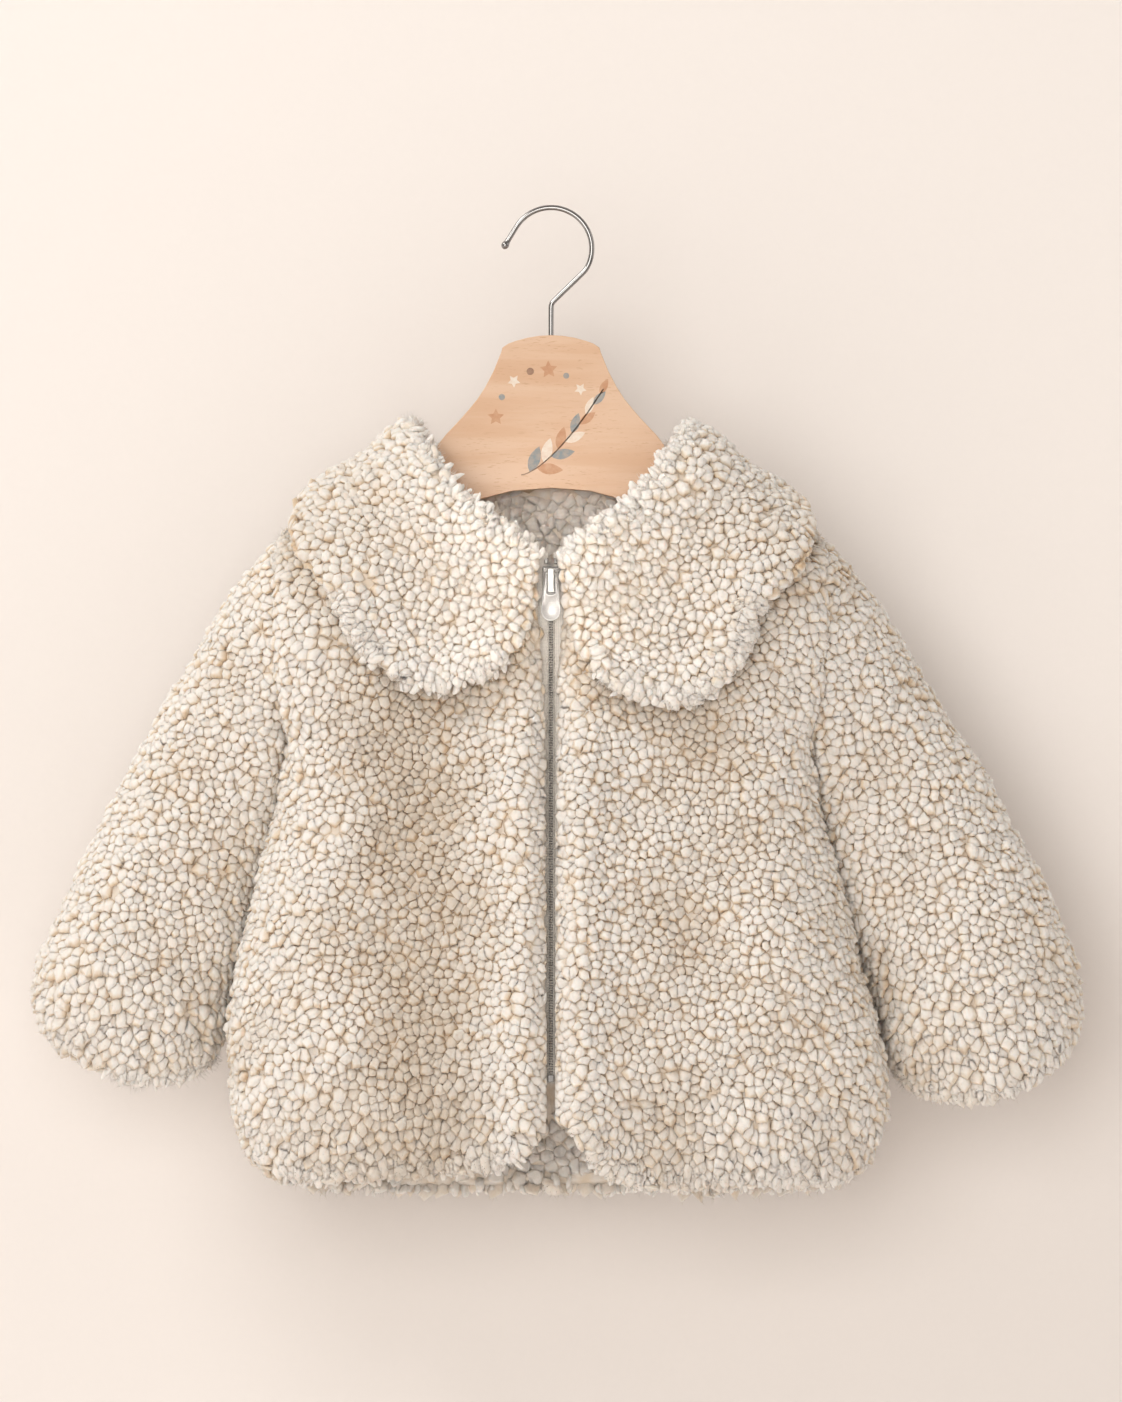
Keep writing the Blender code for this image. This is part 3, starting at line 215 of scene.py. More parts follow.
class Shape(Graph):
    """A geometry tree under construction, with named inputs."""

    def __init__(self, name, **inputs):
        super().__init__(bpy.data.node_groups.new(name, "GeometryNodeTree"))
        interface = self.tree.interface
        interface.new_socket("Geometry", in_out="INPUT", socket_type="NodeSocketGeometry")
        kinds = {float: "NodeSocketFloat", int: "NodeSocketInt", str: "NodeSocketMaterial"}
        for label, kind in inputs.items():
            interface.new_socket(label.replace("_", " "), in_out="INPUT", socket_type=kinds[kind])
        interface.new_socket("Geometry", in_out="OUTPUT", socket_type="NodeSocketGeometry")
        self.entry = self.tree.nodes.new("NodeGroupInput")
        self.exit = self.tree.nodes.new("NodeGroupOutput")

    def given(self, name="Geometry"):
        return Signal(self, self.entry.outputs[name])

    def position(self):
        return self.add("GeometryNodeInputPosition")

    def attribute(self, name, kind="FLOAT"):
        """A named attribute of the geometry that the tree works on."""
        return self.add("GeometryNodeInputNamedAttribute", {"data_type": kind}, {"Name": name}, "Attribute")

    def direction(self, name):
        return self.attribute(name, "FLOAT_VECTOR")

    def keep(self, geometry, name, value, kind="FLOAT"):
        """Stores a named attribute on the points."""
        values = {"Geometry": geometry, "Name": name, "Value": value}
        settings = {"data_type": kind, "domain": "POINT"}
        return self.add("GeometryNodeStoreNamedAttribute", settings, values, "Geometry")

    def random(self, low, high, seed, kind="FLOAT"):
        return self.add("FunctionNodeRandomValue", {"data_type": kind},
                        {"Min": low, "Max": high, "Seed": seed}, "Value")

    def towards(self, direction, seed, stray):
        """A direction with a random vector of up to stray to each side added to it."""
        strays = self.random((-1, -1, -1), (1, 1, 1), seed, "FLOAT_VECTOR")
        return self.vector("ADD", direction, self.vector("SCALE", strays, scale=stray))

    def turned(self, up, along):
        """The turn that points Z up and X as nearly along as it can."""
        return self.add("FunctionNodeAxesToRotation", {"primary_axis": "Z", "secondary_axis": "X"},
                        {"Primary Axis": up, "Secondary Axis": along})

    def move(self, geometry, offset):
        return self.add("GeometryNodeSetPosition", None, {"Geometry": geometry, "Offset": offset})

    def scatter(self, method, values):
        """Points on the given surface, and the way that it faces at each."""
        points = self.add("GeometryNodeDistributePointsOnFaces", {"distribute_method": method},
                          {"Mesh": self.given(), **values}, "Points")
        return points, Signal(self, points.socket.node.outputs["Normal"])

    def scatter_apart(self, pitch, tries, crowd, seed):
        """The same, with no two points closer than pitch, out of so many tries to a square pitch."""
        return self.scatter("POISSON", {"Distance Min": pitch, "Density Max": tries / (pitch * pitch),
                                        "Density Factor": crowd, "Seed": seed})

    def repeat(self, points, piece, turn, scale):
        """A copy of piece on each point, as real faces."""
        values = {"Points": points, "Instance": piece, "Rotation": turn, "Scale": scale}
        copies = self.add("GeometryNodeInstanceOnPoints", None, values, "Instances")
        return self.add("GeometryNodeRealizeInstances", None, {"Geometry": copies})

    def wobble(self, geometry, scale, reach):
        """Moves each point by noise, so that no two copies are alike."""
        patches = self.noise(self.position(), scale, out="Color")
        centred = self.vector("SUBTRACT", patches, (0.5, 0.5, 0.5))
        return self.move(geometry, self.vector("SCALE", centred, scale=reach))

    def finish(self, geometry):
        """Realizes the instances, shades them smooth and gives them their material."""
        real = self.add("GeometryNodeRealizeInstances", None, {"Geometry": geometry})
        smooth = self.add("GeometryNodeSetShadeSmooth", None, {"Geometry": real})
        values = {"Geometry": smooth, "Material": self.given("Material")}
        self.feed(self.exit.inputs[0], self.add("GeometryNodeSetMaterial", None, values))
        return self.tree


def grow(tree, source, name, **inputs):
    """Runs a geometry tree on a copy of source and returns the result as a plain mesh object."""
    piece = new_object(name, source.data.copy())
    modifier = piece.modifiers.new("grow", "NODES")
    modifier.node_group = tree
    for item in tree.interface.items_tree:
        label = item.name.replace(" ", "_")
        if item.in_out == "INPUT" and label in inputs:
            modifier[item.identifier] = inputs[label]
    settle(piece)
    return piece


# ---------------------------------------------------------------- meshes


def new_object(name, data):
    item = bpy.data.objects.new(name, data)
    bpy.context.scene.collection.objects.link(item)
    return item


@contextmanager
def opened(mesh):
    """A mesh opened for work on its faces, and written back after it."""
    shape = bmesh.new()
    shape.from_mesh(mesh)
    yield shape
    shape.to_mesh(mesh)
    shape.free()


def settle(item):
    """Applies an object's modifiers by taking its evaluated mesh."""
    graph = bpy.context.evaluated_depsgraph_get()
    before = item.data
    item.data = bpy.data.meshes.new_from_object(item.evaluated_get(graph))
    item.modifiers.clear()
    item.data.name = item.name
    if before.users == 0:
        bpy.data.meshes.remove(before)


def round_off(item):
    """Subdivides an object once into a smooth form."""
    rounding = item.modifiers.new("round", "SUBSURF")
    rounding.levels = rounding.render_levels = 1
    settle(item)
    item.data.shade_smooth()


def copy_of_node(node, name):
    """A welded copy of a solid, with its flat triangles joined to four-sided faces."""
    mesh = NODES[node].data.copy()
    with opened(mesh) as shape:
        bmesh.ops.remove_doubles(shape, verts=shape.verts, dist=0.02 * MM)
        bmesh.ops.join_triangles(shape, faces=shape.faces, angle_face_threshold=math.radians(40),
                                 angle_shape_threshold=math.radians(60))
    mesh.materials.clear()
    return new_object(name, mesh)


def corners(mesh, reading="co"):
    """The places, or another reading, of a mesh's corners, a row for each."""
    rows = np.empty(len(mesh.vertices) * 3, np.float32)
    mesh.vertices.foreach_get(reading, rows)
    return rows.reshape(-1, 3).astype(float)


def store(mesh, name, values):
    kind, field = ("FLOAT_VECTOR", "vector") if values.ndim == 2 else ("FLOAT", "value")
    attribute = mesh.attributes.new(name, kind, "POINT")
    attribute.data.foreach_set(field, values.astype(np.float32).ravel())


def step(values, start, end):
    """A smooth step from 0 at start to 1 at end, which may lie below start."""
    t = np.clip((values - start) / (end - start), 0, 1)
    return t * t * (3 - 2 * t)


def hump(values, height, middle, reach):
    """A smooth hump of that height at middle, which has nearly faded at twice its reach."""
    return height * np.exp(-(((values - middle) / reach) ** 2))


def unit(vectors):
    return vectors / np.maximum(np.linalg.norm(vectors, axis=-1, keepdims=True), 1e-9)


def darker(color, share):
    return tuple(c * share for c in color)


# ---------------------------------------------------------------- the cloth


class CoatCloth(bpy.types.PropertyGroup):
    pitch: FloatProperty(name="Curl pitch", description="Least distance between two curls",
                         default=3.65 * MM, unit="LENGTH", precision=4)
    width: FloatProperty(name="Curl width", description="Across one curl, before its neighbours press it",
                         default=9.6 * MM, unit="LENGTH", precision=4)
    height: FloatProperty(name="Curl height", description="From a curl's middle to its top",
                          default=3.6 * MM, unit="LENGTH", precision=4)
    sink: FloatProperty(name="Curl depth", description="How far a curl's middle lies under the cloth's face",
                        default=0.8 * MM, unit="LENGTH", precision=4)
    fibres: FloatProperty(name="Loose fibres", description="How many to a square metre of curl",
                          default=34000.0)
    fibre_length: FloatProperty(name="Fibre length", description="How far a loose fibre stands off",
                                default=2.4 * MM, unit="LENGTH", precision=4)
    fibre_thickness: FloatProperty(name="Fibre thickness", description="Across a fibre's foot",
                                   default=0.22 * MM, unit="LENGTH", precision=5)
    tuft_pitch: FloatProperty(name="Tuft pitch", description="Least distance between two tufts of the fringe",
                              default=2.7 * MM, unit="LENGTH", precision=4)
    tuft_length: FloatProperty(name="Tuft length", description="How far the fringe stands off",
                               default=4.9 * MM, unit="LENGTH", precision=4)
    tuft_thickness: FloatProperty(name="Tuft thickness", description="Half the width of a tuft",
                                  default=2.15 * MM, unit="LENGTH", precision=5)
    # Pile colours from a curl's root to its tip: the root and middle colours paint shade into the creases
    # between curls.
    tip: FloatVectorProperty(name="Tip colour", description="Pile at a curl's top", subtype="COLOR",
                             size=3, min=0, max=1, default=(0.865, 0.83, 0.78))
    middle: FloatVectorProperty(name="Middle colour", description="Pile on a curl's side", subtype="COLOR",
                                size=3, min=0, max=1, default=(0.78, 0.67, 0.54))
    root: FloatVectorProperty(name="Root colour", description="Pile between curls", subtype="COLOR",
                              size=3, min=0, max=1, default=(0.68, 0.52, 0.36))
    seed: IntProperty(name="Seed", description="Which scatter of curls", default=11)


# A sleeve's slanting middle line: where it starts at the armhole, and its run to the cuff
SLEEVE_START, SLEEVE_RUN = (0.150, 0.012, -0.20), (0.085, 0.0, -0.24)
COLLAR_CENTRE = (0.0, 0.0, -0.135)

# What changes over a panel does so in a smooth step. Each pair is where the step starts and ends.
# Heights: where curls grow long at hem and cuffs, and where the inner faces show
HEM_CURLS, CUFF_CURLS = (-0.42, -0.51), (-0.36, -0.455)
NECK_INSIDE, BACK_HEM_INSIDE = (-0.235, -0.215), (-0.485, -0.500)
FRONT_HEM_INSIDE, CUFF_INSIDE = (-0.500, -0.512), (-0.435, -0.450)
# Distances out from the middle, where the zip is
ZIP_NAP, ZIP_BARE, SIDE_CURLS, NECK_WIDTH = (0.010, 0.026), (0.012, 0.020), (0.100, 0.135), (0.088, 0.100)
# Distances towards the front, over which the body's relief comes in, and distances from the collar, over
# which its painted shadow fades out
FRONT_FACE, COLLAR_SHADOW = (0.010, 0.030), (0.006, 0.024)
# Distances from a panel's edge
INNER_PILE, FRINGE, LOOSE_EDGE = (0.004, 0.010), (0.0030, 0.0085), (0.005, 0.013)
# Distances from a collar's edge, over which painted shade comes in over the collar's middle
COLLAR_MIDDLE = (0.014, 0.034)
# How squarely a face looks out of the coat, from -1 to 1, and what counts as an edge between its faces
LOOKS_OUT, EDGE_LOOKS_OUT, EDGE_FACES_NAP = (-0.4, -0.15), 0.35, 0.5
# A hollow this deep gets the full painted shade.
DEEP = 5 * MM  # a hollow that is shaded in full


def side_of(places):
    """-1 for a piece at the left and 1 for one at the right."""
    return np.sign(places[:, 0].mean())


def strip(half_width, lowest, highest):
    """The nearest points of an upright strip in the coat's middle, which the panels wrap."""

    def nearest(places):
        x, y, z = places.T
        return np.stack([np.clip(x, -half_width, half_width), 0 * y, np.clip(z, lowest, highest)], 1)

    return nearest


def sleeve_line(places):
    """The same for a sleeve: its middle line, which runs on past the cuff."""
    mirror = np.array((side_of(places), 1, 1))
    start, run = mirror * SLEEVE_START, mirror * SLEEVE_RUN
    along = np.maximum((places - start) @ run / (run @ run), 0)
    return start + along[:, None] * run


def by_zip(places):
    """1 on the fronts close beside the zip, and 0 away from it."""
    return (1 - step(np.abs(places[:, 0]), *ZIP_NAP)) * (places[:, 1] < 0)


def body_nap(places):
    """The way the pile lies: down, turning towards the zip beside it."""
    side = np.sign(places[:, 0])
    still, full = np.zeros_like(side), np.ones_like(side)
    down = np.stack([0.10 * side, still, -full], 1)
    inwards = np.stack([-side, still, -0.5 * full], 1)
    return unit(down + (inwards - down) * by_zip(places)[:, None])


def sleeve_nap(places):
    return unit(np.tile((0.36 * side_of(places), 0.0, -1.0), (len(places), 1)))


def collar_nap(places):
    """Away from the neck."""
    return unit((places - np.array(COLLAR_CENTRE)) * (1, 0, 1))


def body_petals(places):
    """Where curls are long and loose: most at the hem, some at the sides and beside the zip."""
    low = 0.1 + 0.9 * step(places[:, 2], *HEM_CURLS)
    side = 0.6 * step(np.abs(places[:, 0]), *SIDE_CURLS)
    return np.maximum(np.maximum(low, side), 0.5 * by_zip(places))


def sleeve_petals(places):
    return 0.35 + 0.65 * step(places[:, 2], *CUFF_CURLS)


def collar_petals(places):
    return np.full(len(places), 0.3)


def body_relief(places, off_edge):
    """A roll beside the zip, and a hollow beyond it that is deeper at the left."""
    x, y, _ = places.T
    off = np.abs(x)
    roll = hump(off, height=4.2, middle=0.016, reach=0.009)
    hollow = hump(off, height=2.0 + 3.4 * (x < 0), middle=0.072, reach=0.034)
    return (roll - hollow) * step(-y, *FRONT_FACE) * MM


def collar_relief(places, off_edge):
    """A rolled outer edge that stands off the coat, round a shallow middle."""
    return (hump(off_edge, height=8.0, middle=0.0, reach=0.016) - 0.6) * MM


def sleeve_relief(places, off_edge):
    return np.zeros(len(places))


def waves(places):
    """The uneven swell of a hanging panel: waves about 0.1 m long and 1.5 mm high, which bend and cross
    each other, with slighter ones of about 40 mm over them."""
    x, y, z = places.T * 2 * math.pi
    slow = np.sin(x / 0.094 + 1.1 * np.sin(z / 0.13)) * np.sin(z / 0.105 + y / 0.2 + 1.3)
    quick = np.sin(x / 0.043 + z / 0.12) * np.sin(z / 0.037 - x / 0.15 + 0.6)
    return (1.5 * slow + 0.5 * quick) * MM


def inside_back(places):
    """Where the back's inner face shows: in the neck, and in a band above the hem."""
    x, _, z = places.T
    neck = step(z, *NECK_INSIDE) * (1 - step(np.abs(x), *NECK_WIDTH))
    return np.maximum(neck, step(z, *BACK_HEM_INSIDE))


def inside_hem(places):
    return step(places[:, 2], *FRONT_HEM_INSIDE)


def inside_cuff(places):
    return step(places[:, 2], *CUFF_INSIDE)


def beside_zip(places):
    return 1 - step(np.abs(places[:, 0]), *ZIP_BARE)


def nowhere(places):
    return np.zeros(len(places))


# What each kind of panel wraps, how its pile lies, its rolls and hollows, where its curls are long, where
# its inner face shows, which edge has no fringe, and how far apart its curls are set
BODY = dict(core=strip(half_width=0.115, lowest=-np.inf, highest=-0.18), nap=body_nap, relief=body_relief,
            petals=body_petals)
BACK = dict(BODY, inside=inside_back, bare_edge=nowhere, spacing=1.24)
FRONT = dict(BODY, inside=inside_hem, bare_edge=beside_zip, spacing=1.0)
SLEEVE = dict(core=sleeve_line, nap=sleeve_nap, relief=sleeve_relief, petals=sleeve_petals,
              inside=inside_cuff, bare_edge=nowhere, spacing=1.0)
COLLAR = dict(core=strip(half_width=0.05, lowest=-0.30, highest=-0.19), nap=collar_nap, relief=collar_relief,
              petals=collar_petals, inside=nowhere, bare_edge=nowhere, spacing=1.0)

# Each panel with its flat size and area, in metres
CLOTH = {
    "back": dict(BACK, flat=(0.38, 0.41), area=0.131),
    "front_left": dict(FRONT, flat=(0.19, 0.40), area=0.0655),
    "front_right": dict(FRONT, flat=(0.195, 0.405), area=0.066),
    "sleeve_left": dict(SLEEVE, flat=(0.27, 0.31), area=0.0595),
    "sleeve_right": dict(SLEEVE, flat=(0.28, 0.32), area=0.0655),
    "collar_left": dict(COLLAR, flat=(0.16, 0.27), area=0.0255),
    "collar_right": dict(COLLAR, flat=(0.16, 0.27), area=0.026),
}


def painted_collar_shadow(places):
    """Where the collar lies on a panel or close beside it, where the pile gets a painted shadow of the
    collar.
    """
    collar = np.concatenate([corners(NODES["collar_" + side].data) for side in SIDES])
    off = np.array([np.sqrt(((collar - place) ** 2).sum(1).min()) for place in places])
    return 1 - step(off, *COLLAR_SHADOW)


def to_edge(places, normals, side, nap, both):
    """How far each place is from the edge that the pile lies towards, and the way that edge faces.

    With both, the edge that the pile lies away from counts too."""
    along = np.einsum("ij,ij->i", normals, nap)
    faces_nap = (np.abs(along) if both else along) > EDGE_FACES_NAP
    faces_edge = (np.abs(side) < EDGE_LOOKS_OUT) & faces_nap
    edge, facing = places[faces_edge], normals[faces_edge]
    nearest = np.array([((edge - place) ** 2).sum(1).argmin() for place in places])
    return np.linalg.norm(edge[nearest] - places, axis=1), facing[nearest]


def make_shell(name, rules):
    """One panel: a smooth thin shell on its solid's form, with the pile's rules stored on it."""
    is_collar = name.startswith("collar")
    shell = copy_of_node(name, "cloth_" + name)
    round_off(shell)
    places, normals = corners(shell.data), corners(shell.data, "normal")
    outwards = unit(places - rules["core"](places))
    side = np.einsum("ij,ij->i", normals, outwards)
    nap = rules["nap"](places)
    off_edge, out = to_edge(places, normals, side, nap, is_collar)
    relief = waves(places) + rules["relief"](places, off_edge)
    shell.data.vertices.foreach_set("co", (places + outwards * relief[:, None]).ravel())

    outer = step(side, *LOOKS_OUT)
    inner = (1 - outer) * rules["inside"](places) * step(off_edge, *INNER_PILE)
    fringe = outer * (1 - step(off_edge, *FRINGE)) * (1 - rules["bare_edge"](places))
    petal = np.maximum(rules["petals"](places) * outer, 0.7 * fringe)
    # Painted shade: over the collar's middle, and on the other panels in the relief's hollows and under the
    # collar.
    if is_collar:
        hollow = 0.25 * step(off_edge, *COLLAR_MIDDLE)
    else:
        hollow = np.maximum(np.clip(-relief / DEEP, 0, 1), 0.8 * painted_collar_shadow(places))
    store(shell.data, "pile", np.maximum(outer, inner))
    store(shell.data, "flat", 1 - outer)
    store(shell.data, "rim", fringe)
    store(shell.data, "petal", petal)
    store(shell.data, "loose", np.maximum(petal, 1 - step(off_edge, *LOOSE_EDGE)))
    store(shell.data, "hollow", hollow * outer)
    store(shell.data, "nap", nap)
    store(shell.data, "out", out)
    return shell


# One curl's outline from its foot to its top: how wide and how high it is at each ring, as shares
CURL_RINGS = ((0.0, -0.25), (1.0, 0.0), (0.87, 0.5), (0.5, 0.86), (0.0, 1.0))
CURL_SIDES = 6
CURL_BEND = 0.15  # how far a curl's top hangs over, as a share of its length
# How far towards its neighbour a curl may reach at each press, as a share of half-way
PRESSES = (1.08, 1.06, 1.06, 1.06)


def one_curl(g):
    """The curl that is repeated: a ball whose rings are moved to the outline of CURL_RINGS."""
    rings = len(CURL_RINGS) - 1
    ball = g.add("GeometryNodeMeshUVSphere", None,
                 {"Segments": CURL_SIDES, "Rings": rings, "Radius": 1.0}, "Mesh")
    place = g.position()
    height = g.part(place, "Z")
    wide, high = 0.0, 0.0
    for ring, (new_wide, new_high) in enumerate(CURL_RINGS):
        turn = math.pi * ring / rings
        here = g.math("COMPARE", height, -math.cos(turn), 0.05)
        is_pole = ring in (0, rings)
        wide = here * (0.0 if is_pole else new_wide / math.sin(turn)) + wide
        high = here * new_high + high
    flat = g.vector("MULTIPLY", place, g.join(X=wide, Y=wide))
    moved = g.vector("ADD", flat, g.join(X=high * high * CURL_BEND, Z=high))
    ball = g.add("GeometryNodeSetPosition", None, {"Geometry": ball, "Position": moved})
    # tip runs from 0 low on the curl to 1 at its top, and the pile's colours paint shade into the creases by
    # it.
    return g.keep(ball, "tip", g.ramp(height, 0.25, 0.95))


def pressed_back(g, curls, points, clearance):
    """Moves what reaches past the half-way plane to the nearest other curl straight back to that plane.

    A shaded curl gives way less, and a loose one is let through in part."""
    centre, where = g.direction("centre"), g.position()
    nearest = g.add("GeometryNodeSampleNearest", {"domain": "POINT"},
                    {"Geometry": points, "Sample Position": where}, "Index")
    other = g.add("GeometryNodeSampleIndex", {"data_type": "FLOAT_VECTOR", "domain": "POINT"},
                  {"Geometry": points, "Value": where, "Index": nearest}, "Value")
    to_other = g.vector("SUBTRACT", other, centre)
    apart = g.vector("LENGTH", to_other, out="Value")
    reach = g.vector("DOT_PRODUCT", g.vector("SUBTRACT", where, centre), to_other, out="Value") / apart
    room = apart * (0.5 * clearance) * (0.91 + 0.26 * g.attribute("shade"))
    excess = g.math("MAXIMUM", reach - room, 0.0)
    held = excess * (1.0 - 0.75 * g.attribute("loose")) / apart
    return g.move(curls, g.vector("SCALE", to_other, scale=held * -1.0))


def curl_tree():
    """Curls scattered over a shell: small closed pebbles that press on each other, petals near the edges."""
    g = Shape("curls", Pitch=float, Width=float, Height=float, Sink=float, Seed=int, Material=str)
    width, seed = g.given("Width"), g.given("Seed")
    petal, flat, rim = g.attribute("petal"), g.attribute("flat"), g.attribute("rim")
    # Curls stand a little further apart in loose patches, where they are long and at the rim
    clumps = g.ramp(g.noise(g.position(), 55.0, 1.0), 0.35, 0.6, 0.92, 1.0)
    crowd = g.attribute("pile") * clumps * (1.0 - 0.12 * petal - 0.15 * rim)
    points, normal = g.scatter_apart(g.given("Pitch"), 3.4, crowd, seed)
    points = g.keep(points, "facing", normal, "FLOAT_VECTOR")
    points = g.move(points, g.vector("SCALE", normal, scale=g.given("Sink") * -1.0))
    points = g.keep(points, "shade", g.random(0.0, 1.0, seed + 6))
    points = g.keep(points, "centre", g.position(), "FLOAT_VECTOR")

    # A short curl strays far from the nap, and a long one's free end lifts further off the cloth
    lay = g.towards(g.direction("nap"), seed + 1, 1.3 - petal)
    lean = g.random(-0.42, 0.1, seed + 2) - 0.25 * petal
    tilt = g.add("FunctionNodeAxisAngleToRotation", None, {"Axis": (0, 1, 0), "Angle": lean})
    turn = g.add("FunctionNodeRotateRotation", {"rotation_space": "LOCAL"},
                 {"Rotation": g.turned(g.direction("facing"), lay), "Rotate By": tilt})
    # Curls differ in size, are longer than wide, and are wide and low on the inner faces
    size = width * 0.5 * g.random(0.85, 1.15, seed + 3) * (1.0 + 0.14 * petal)
    length = size * (1.0 + 0.5 * petal + g.random(-0.1, 0.25, seed + 4))
    across = size * (1.0 + 0.3 * flat)
    tall = g.given("Height") * (g.random(0.65, 1.15, seed + 5) + 0.3 * g.attribute("shade"))
    tall = tall * (1.0 - 0.45 * flat + 0.25 * rim + 0.2 * petal)
    curls = g.repeat(points, one_curl(g), turn, g.join(X=length, Y=across, Z=tall))
    curls = g.wobble(curls, 200.0, width * 0.42)
    for clearance in PRESSES:
        curls = pressed_back(g, curls, points, clearance)
    return g.finish(curls)


def fibre_tree():
    """Fine loose fibres that stand off the curls, each a closed three-sided spike."""
    g = Shape("fibres", Density=float, Length=float, Thickness=float, Seed=int, Material=str)
    seed = g.given("Seed")
    loose = g.attribute("rim") + g.attribute("petal") * 0.35
    edge = g.add("ShaderNodeClamp", None, {"Value": loose}, "Result")
    density = g.given("Density") * g.attribute("tip") * (1.0 - 0.8 * g.attribute("flat")) * (1.0 + 5.0 * edge)
    points, normal = g.scatter("RANDOM", {"Density": density, "Seed": seed})
    lifted = g.vector("SCALE", g.direction("facing"), scale=0.7)
    along = g.vector("ADD", lifted, g.towards(normal, seed + 1, 0.8))
    turn = g.add("FunctionNodeAlignRotationToVector", {"axis": "Z"}, {"Vector": along})
    spike = g.add("GeometryNodeMeshCone", {"fill_type": "NGON"},
                  {"Vertices": 3, "Radius Top": 0.0, "Radius Bottom": 1.0, "Depth": 1.0}, "Mesh")
    thick = g.given("Thickness") * (0.5 + 0.5 * edge)
    long = g.given("Length") * (1.0 + edge) * g.random(0.5, 1.2, seed + 2)
    return g.finish(g.repeat(points, spike, turn, g.join(X=thick, Y=thick, Z=long)))


def tuft_tree():
    """A fringe of slender tufts along a panel's edges, pointing outwards."""
    g = Shape("tufts", Pitch=float, Length=float, Thickness=float, Seed=int, Material=str)
    seed, facing = g.given("Seed"), g.direction("facing")
    points, normal = g.scatter_apart(g.given("Pitch"), 3.0, g.ramp(g.attribute("rim"), 0.05, 0.6), seed)
    points = g.keep(points, "facing", normal, "FLOAT_VECTOR")
    points = g.keep(points, "shade", g.random(0.3, 1.0, seed + 6))
    points = g.move(points, g.vector("SCALE", normal, scale=g.given("Thickness")))
    outwards = g.towards(g.direction("out"), seed + 1, 0.42)
    along = g.vector("ADD", outwards, g.vector("SCALE", facing, scale=0.3))
    ball = g.add("GeometryNodeMeshUVSphere", None, {"Segments": 6, "Rings": 5, "Radius": 1.0}, "Mesh")
    height = g.part(g.position(), "Z")
    ball = g.move(ball, g.join(X=0.35 - height * height * 0.7))
    # The tuft's tip is low at its foot, so that the pile's colours paint shade where it meets the curls.
    ball = g.keep(ball, "tip", g.ramp(height, -1.0, 0.2, 0.4, 1.0))
    thick = g.given("Thickness") * g.random(0.6, 1.45, seed + 2)
    long = g.given("Length") * g.random(0.5, 1.2, seed + 3)
    tufts = g.repeat(points, ball, g.turned(along, facing), g.join(X=thick * 0.75, Y=thick, Z=long))
    return g.finish(g.wobble(tufts, 420.0, g.given("Thickness") * 1.1))


def pile_finish(cloth):
    """Ivory pile with fine crimped fibres: pale at the tips and loose edges, with painted shade that turns it
    tan in the creases and darker in hollows and under the collar.
    """
    # Red light spreads least, so that thin curls and the creases between them stay warm
    f = Finish("ivory_pile", Roughness=0.95, Sheen_Weight=0.08, Sheen_Roughness=0.5, Subsurface_Weight=1.0,
               Subsurface_Radius=(0.82, 0.92, 1.0), Subsurface_Scale=2.8 * MM)
    tip, shade, loose = f.surface("tip"), f.surface("shade"), f.surface("loose")
    flat, rim, hollow = f.surface("flat"), f.surface("rim"), f.surface("hollow")
    fibres = f.noise(f.place, 950.0, 3.0, 0.65, 1.2)
    crimp = f.noise(f.place, 360.0, 2.0, 0.5, 0.8)
    broad = f.noise(f.place, 14.0)
    # Loose curls, the inner faces and the fringe get less of the painted crease shade.
    for pale, share in ((loose, 0.3), (flat, 0.5), (rim, 0.7)):
        tip = tip + (1.0 - tip) * pale * share
    tone = tip
    for pattern, share in ((fibres, 0.3), (crimp, 0.2), (shade, 0.15), (broad, 0.2)):
        tone = tone + (pattern - 0.5) * share
    # Painted light: the inner faces are made paler, for the shaded inside of the neck and hem. Painted shade:
    # hollows and the pile under the collar are made darker.
    tone = tone * 0.8 + flat * 0.08 - hollow * 0.24
    pale_tip, shadow = (0.895, 0.87, 0.83), (0.71, 0.695, 0.68)
    color = f.colors(tone, [(0.08, cloth.root), (0.4, cloth.middle), (0.8, cloth.tip), (1.0, pale_tip)])
    # Painted shade: the shadow tint is multiplied in over hollows and under the collar.
    f.set("Base Color", f.mix(hollow * 0.7, color, shadow, "MULTIPLY"))
    f.bump(crimp * 0.5 + fibres * 0.5, 0.9 * MM, 0.8)
    return f.material


def backing_finish(cloth):
    """The cloth under the curls and on its inner face: the same pile, pressed flat."""
    f = Finish("pressed_pile", Roughness=0.95, Sheen_Weight=0.25, Sheen_Roughness=0.5)
    cells = f.add("ShaderNodeTexVoronoi", {"feature": "SMOOTH_F1"},
                  {"Vector": f.place, "Scale": 150.0, "Smoothness": 0.35}, "Distance")
    fibres = f.noise(f.place, 900.0, 3.0, 0.6, 1.0)
    # Painted shade: darker towards each cell's edge, in the creases that the bump draws.
    tone = 1.0 - cells * 1.1 + (fibres - 0.5) * 0.4
    f.set("Base Color", f.colors(tone, [(0.1, cloth.middle), (0.85, cloth.tip)]))
    f.bump(tone, 1.6 * MM, 0.7)
    return f.material


# Half the gap that the pile leaves over the zip, in millimetres, and how much wider it gets at two
# heights on the way up, by the slider and over it
ZIP_GAP = 2.2
GAP_GAINS = ((0.9, -0.300, -0.225), (2.3, -0.226, -0.222))
GAP_REACH = 14 * MM  # how far out the pile is drawn aside


def clear_the_zip(piece):
    """Draws what lies within reach of the zip's middle back from it, so that the chain shows."""
    places = corners(piece.data)
    side = side_of(places)
    x, y, z = places.T
    gap = ZIP_GAP
    for gain, start, end in GAP_GAINS:
        gap = gap + gain * step(z, start, end)
    gap = gap * MM
    near = (np.abs(x) < GAP_REACH) & (y < -0.02)
    off = np.clip(side * x, 0, GAP_REACH)
    places[near, 0] = (side * (gap + off * (GAP_REACH - gap) / GAP_REACH))[near]
    piece.data.vertices.foreach_set("co", places.ravel())


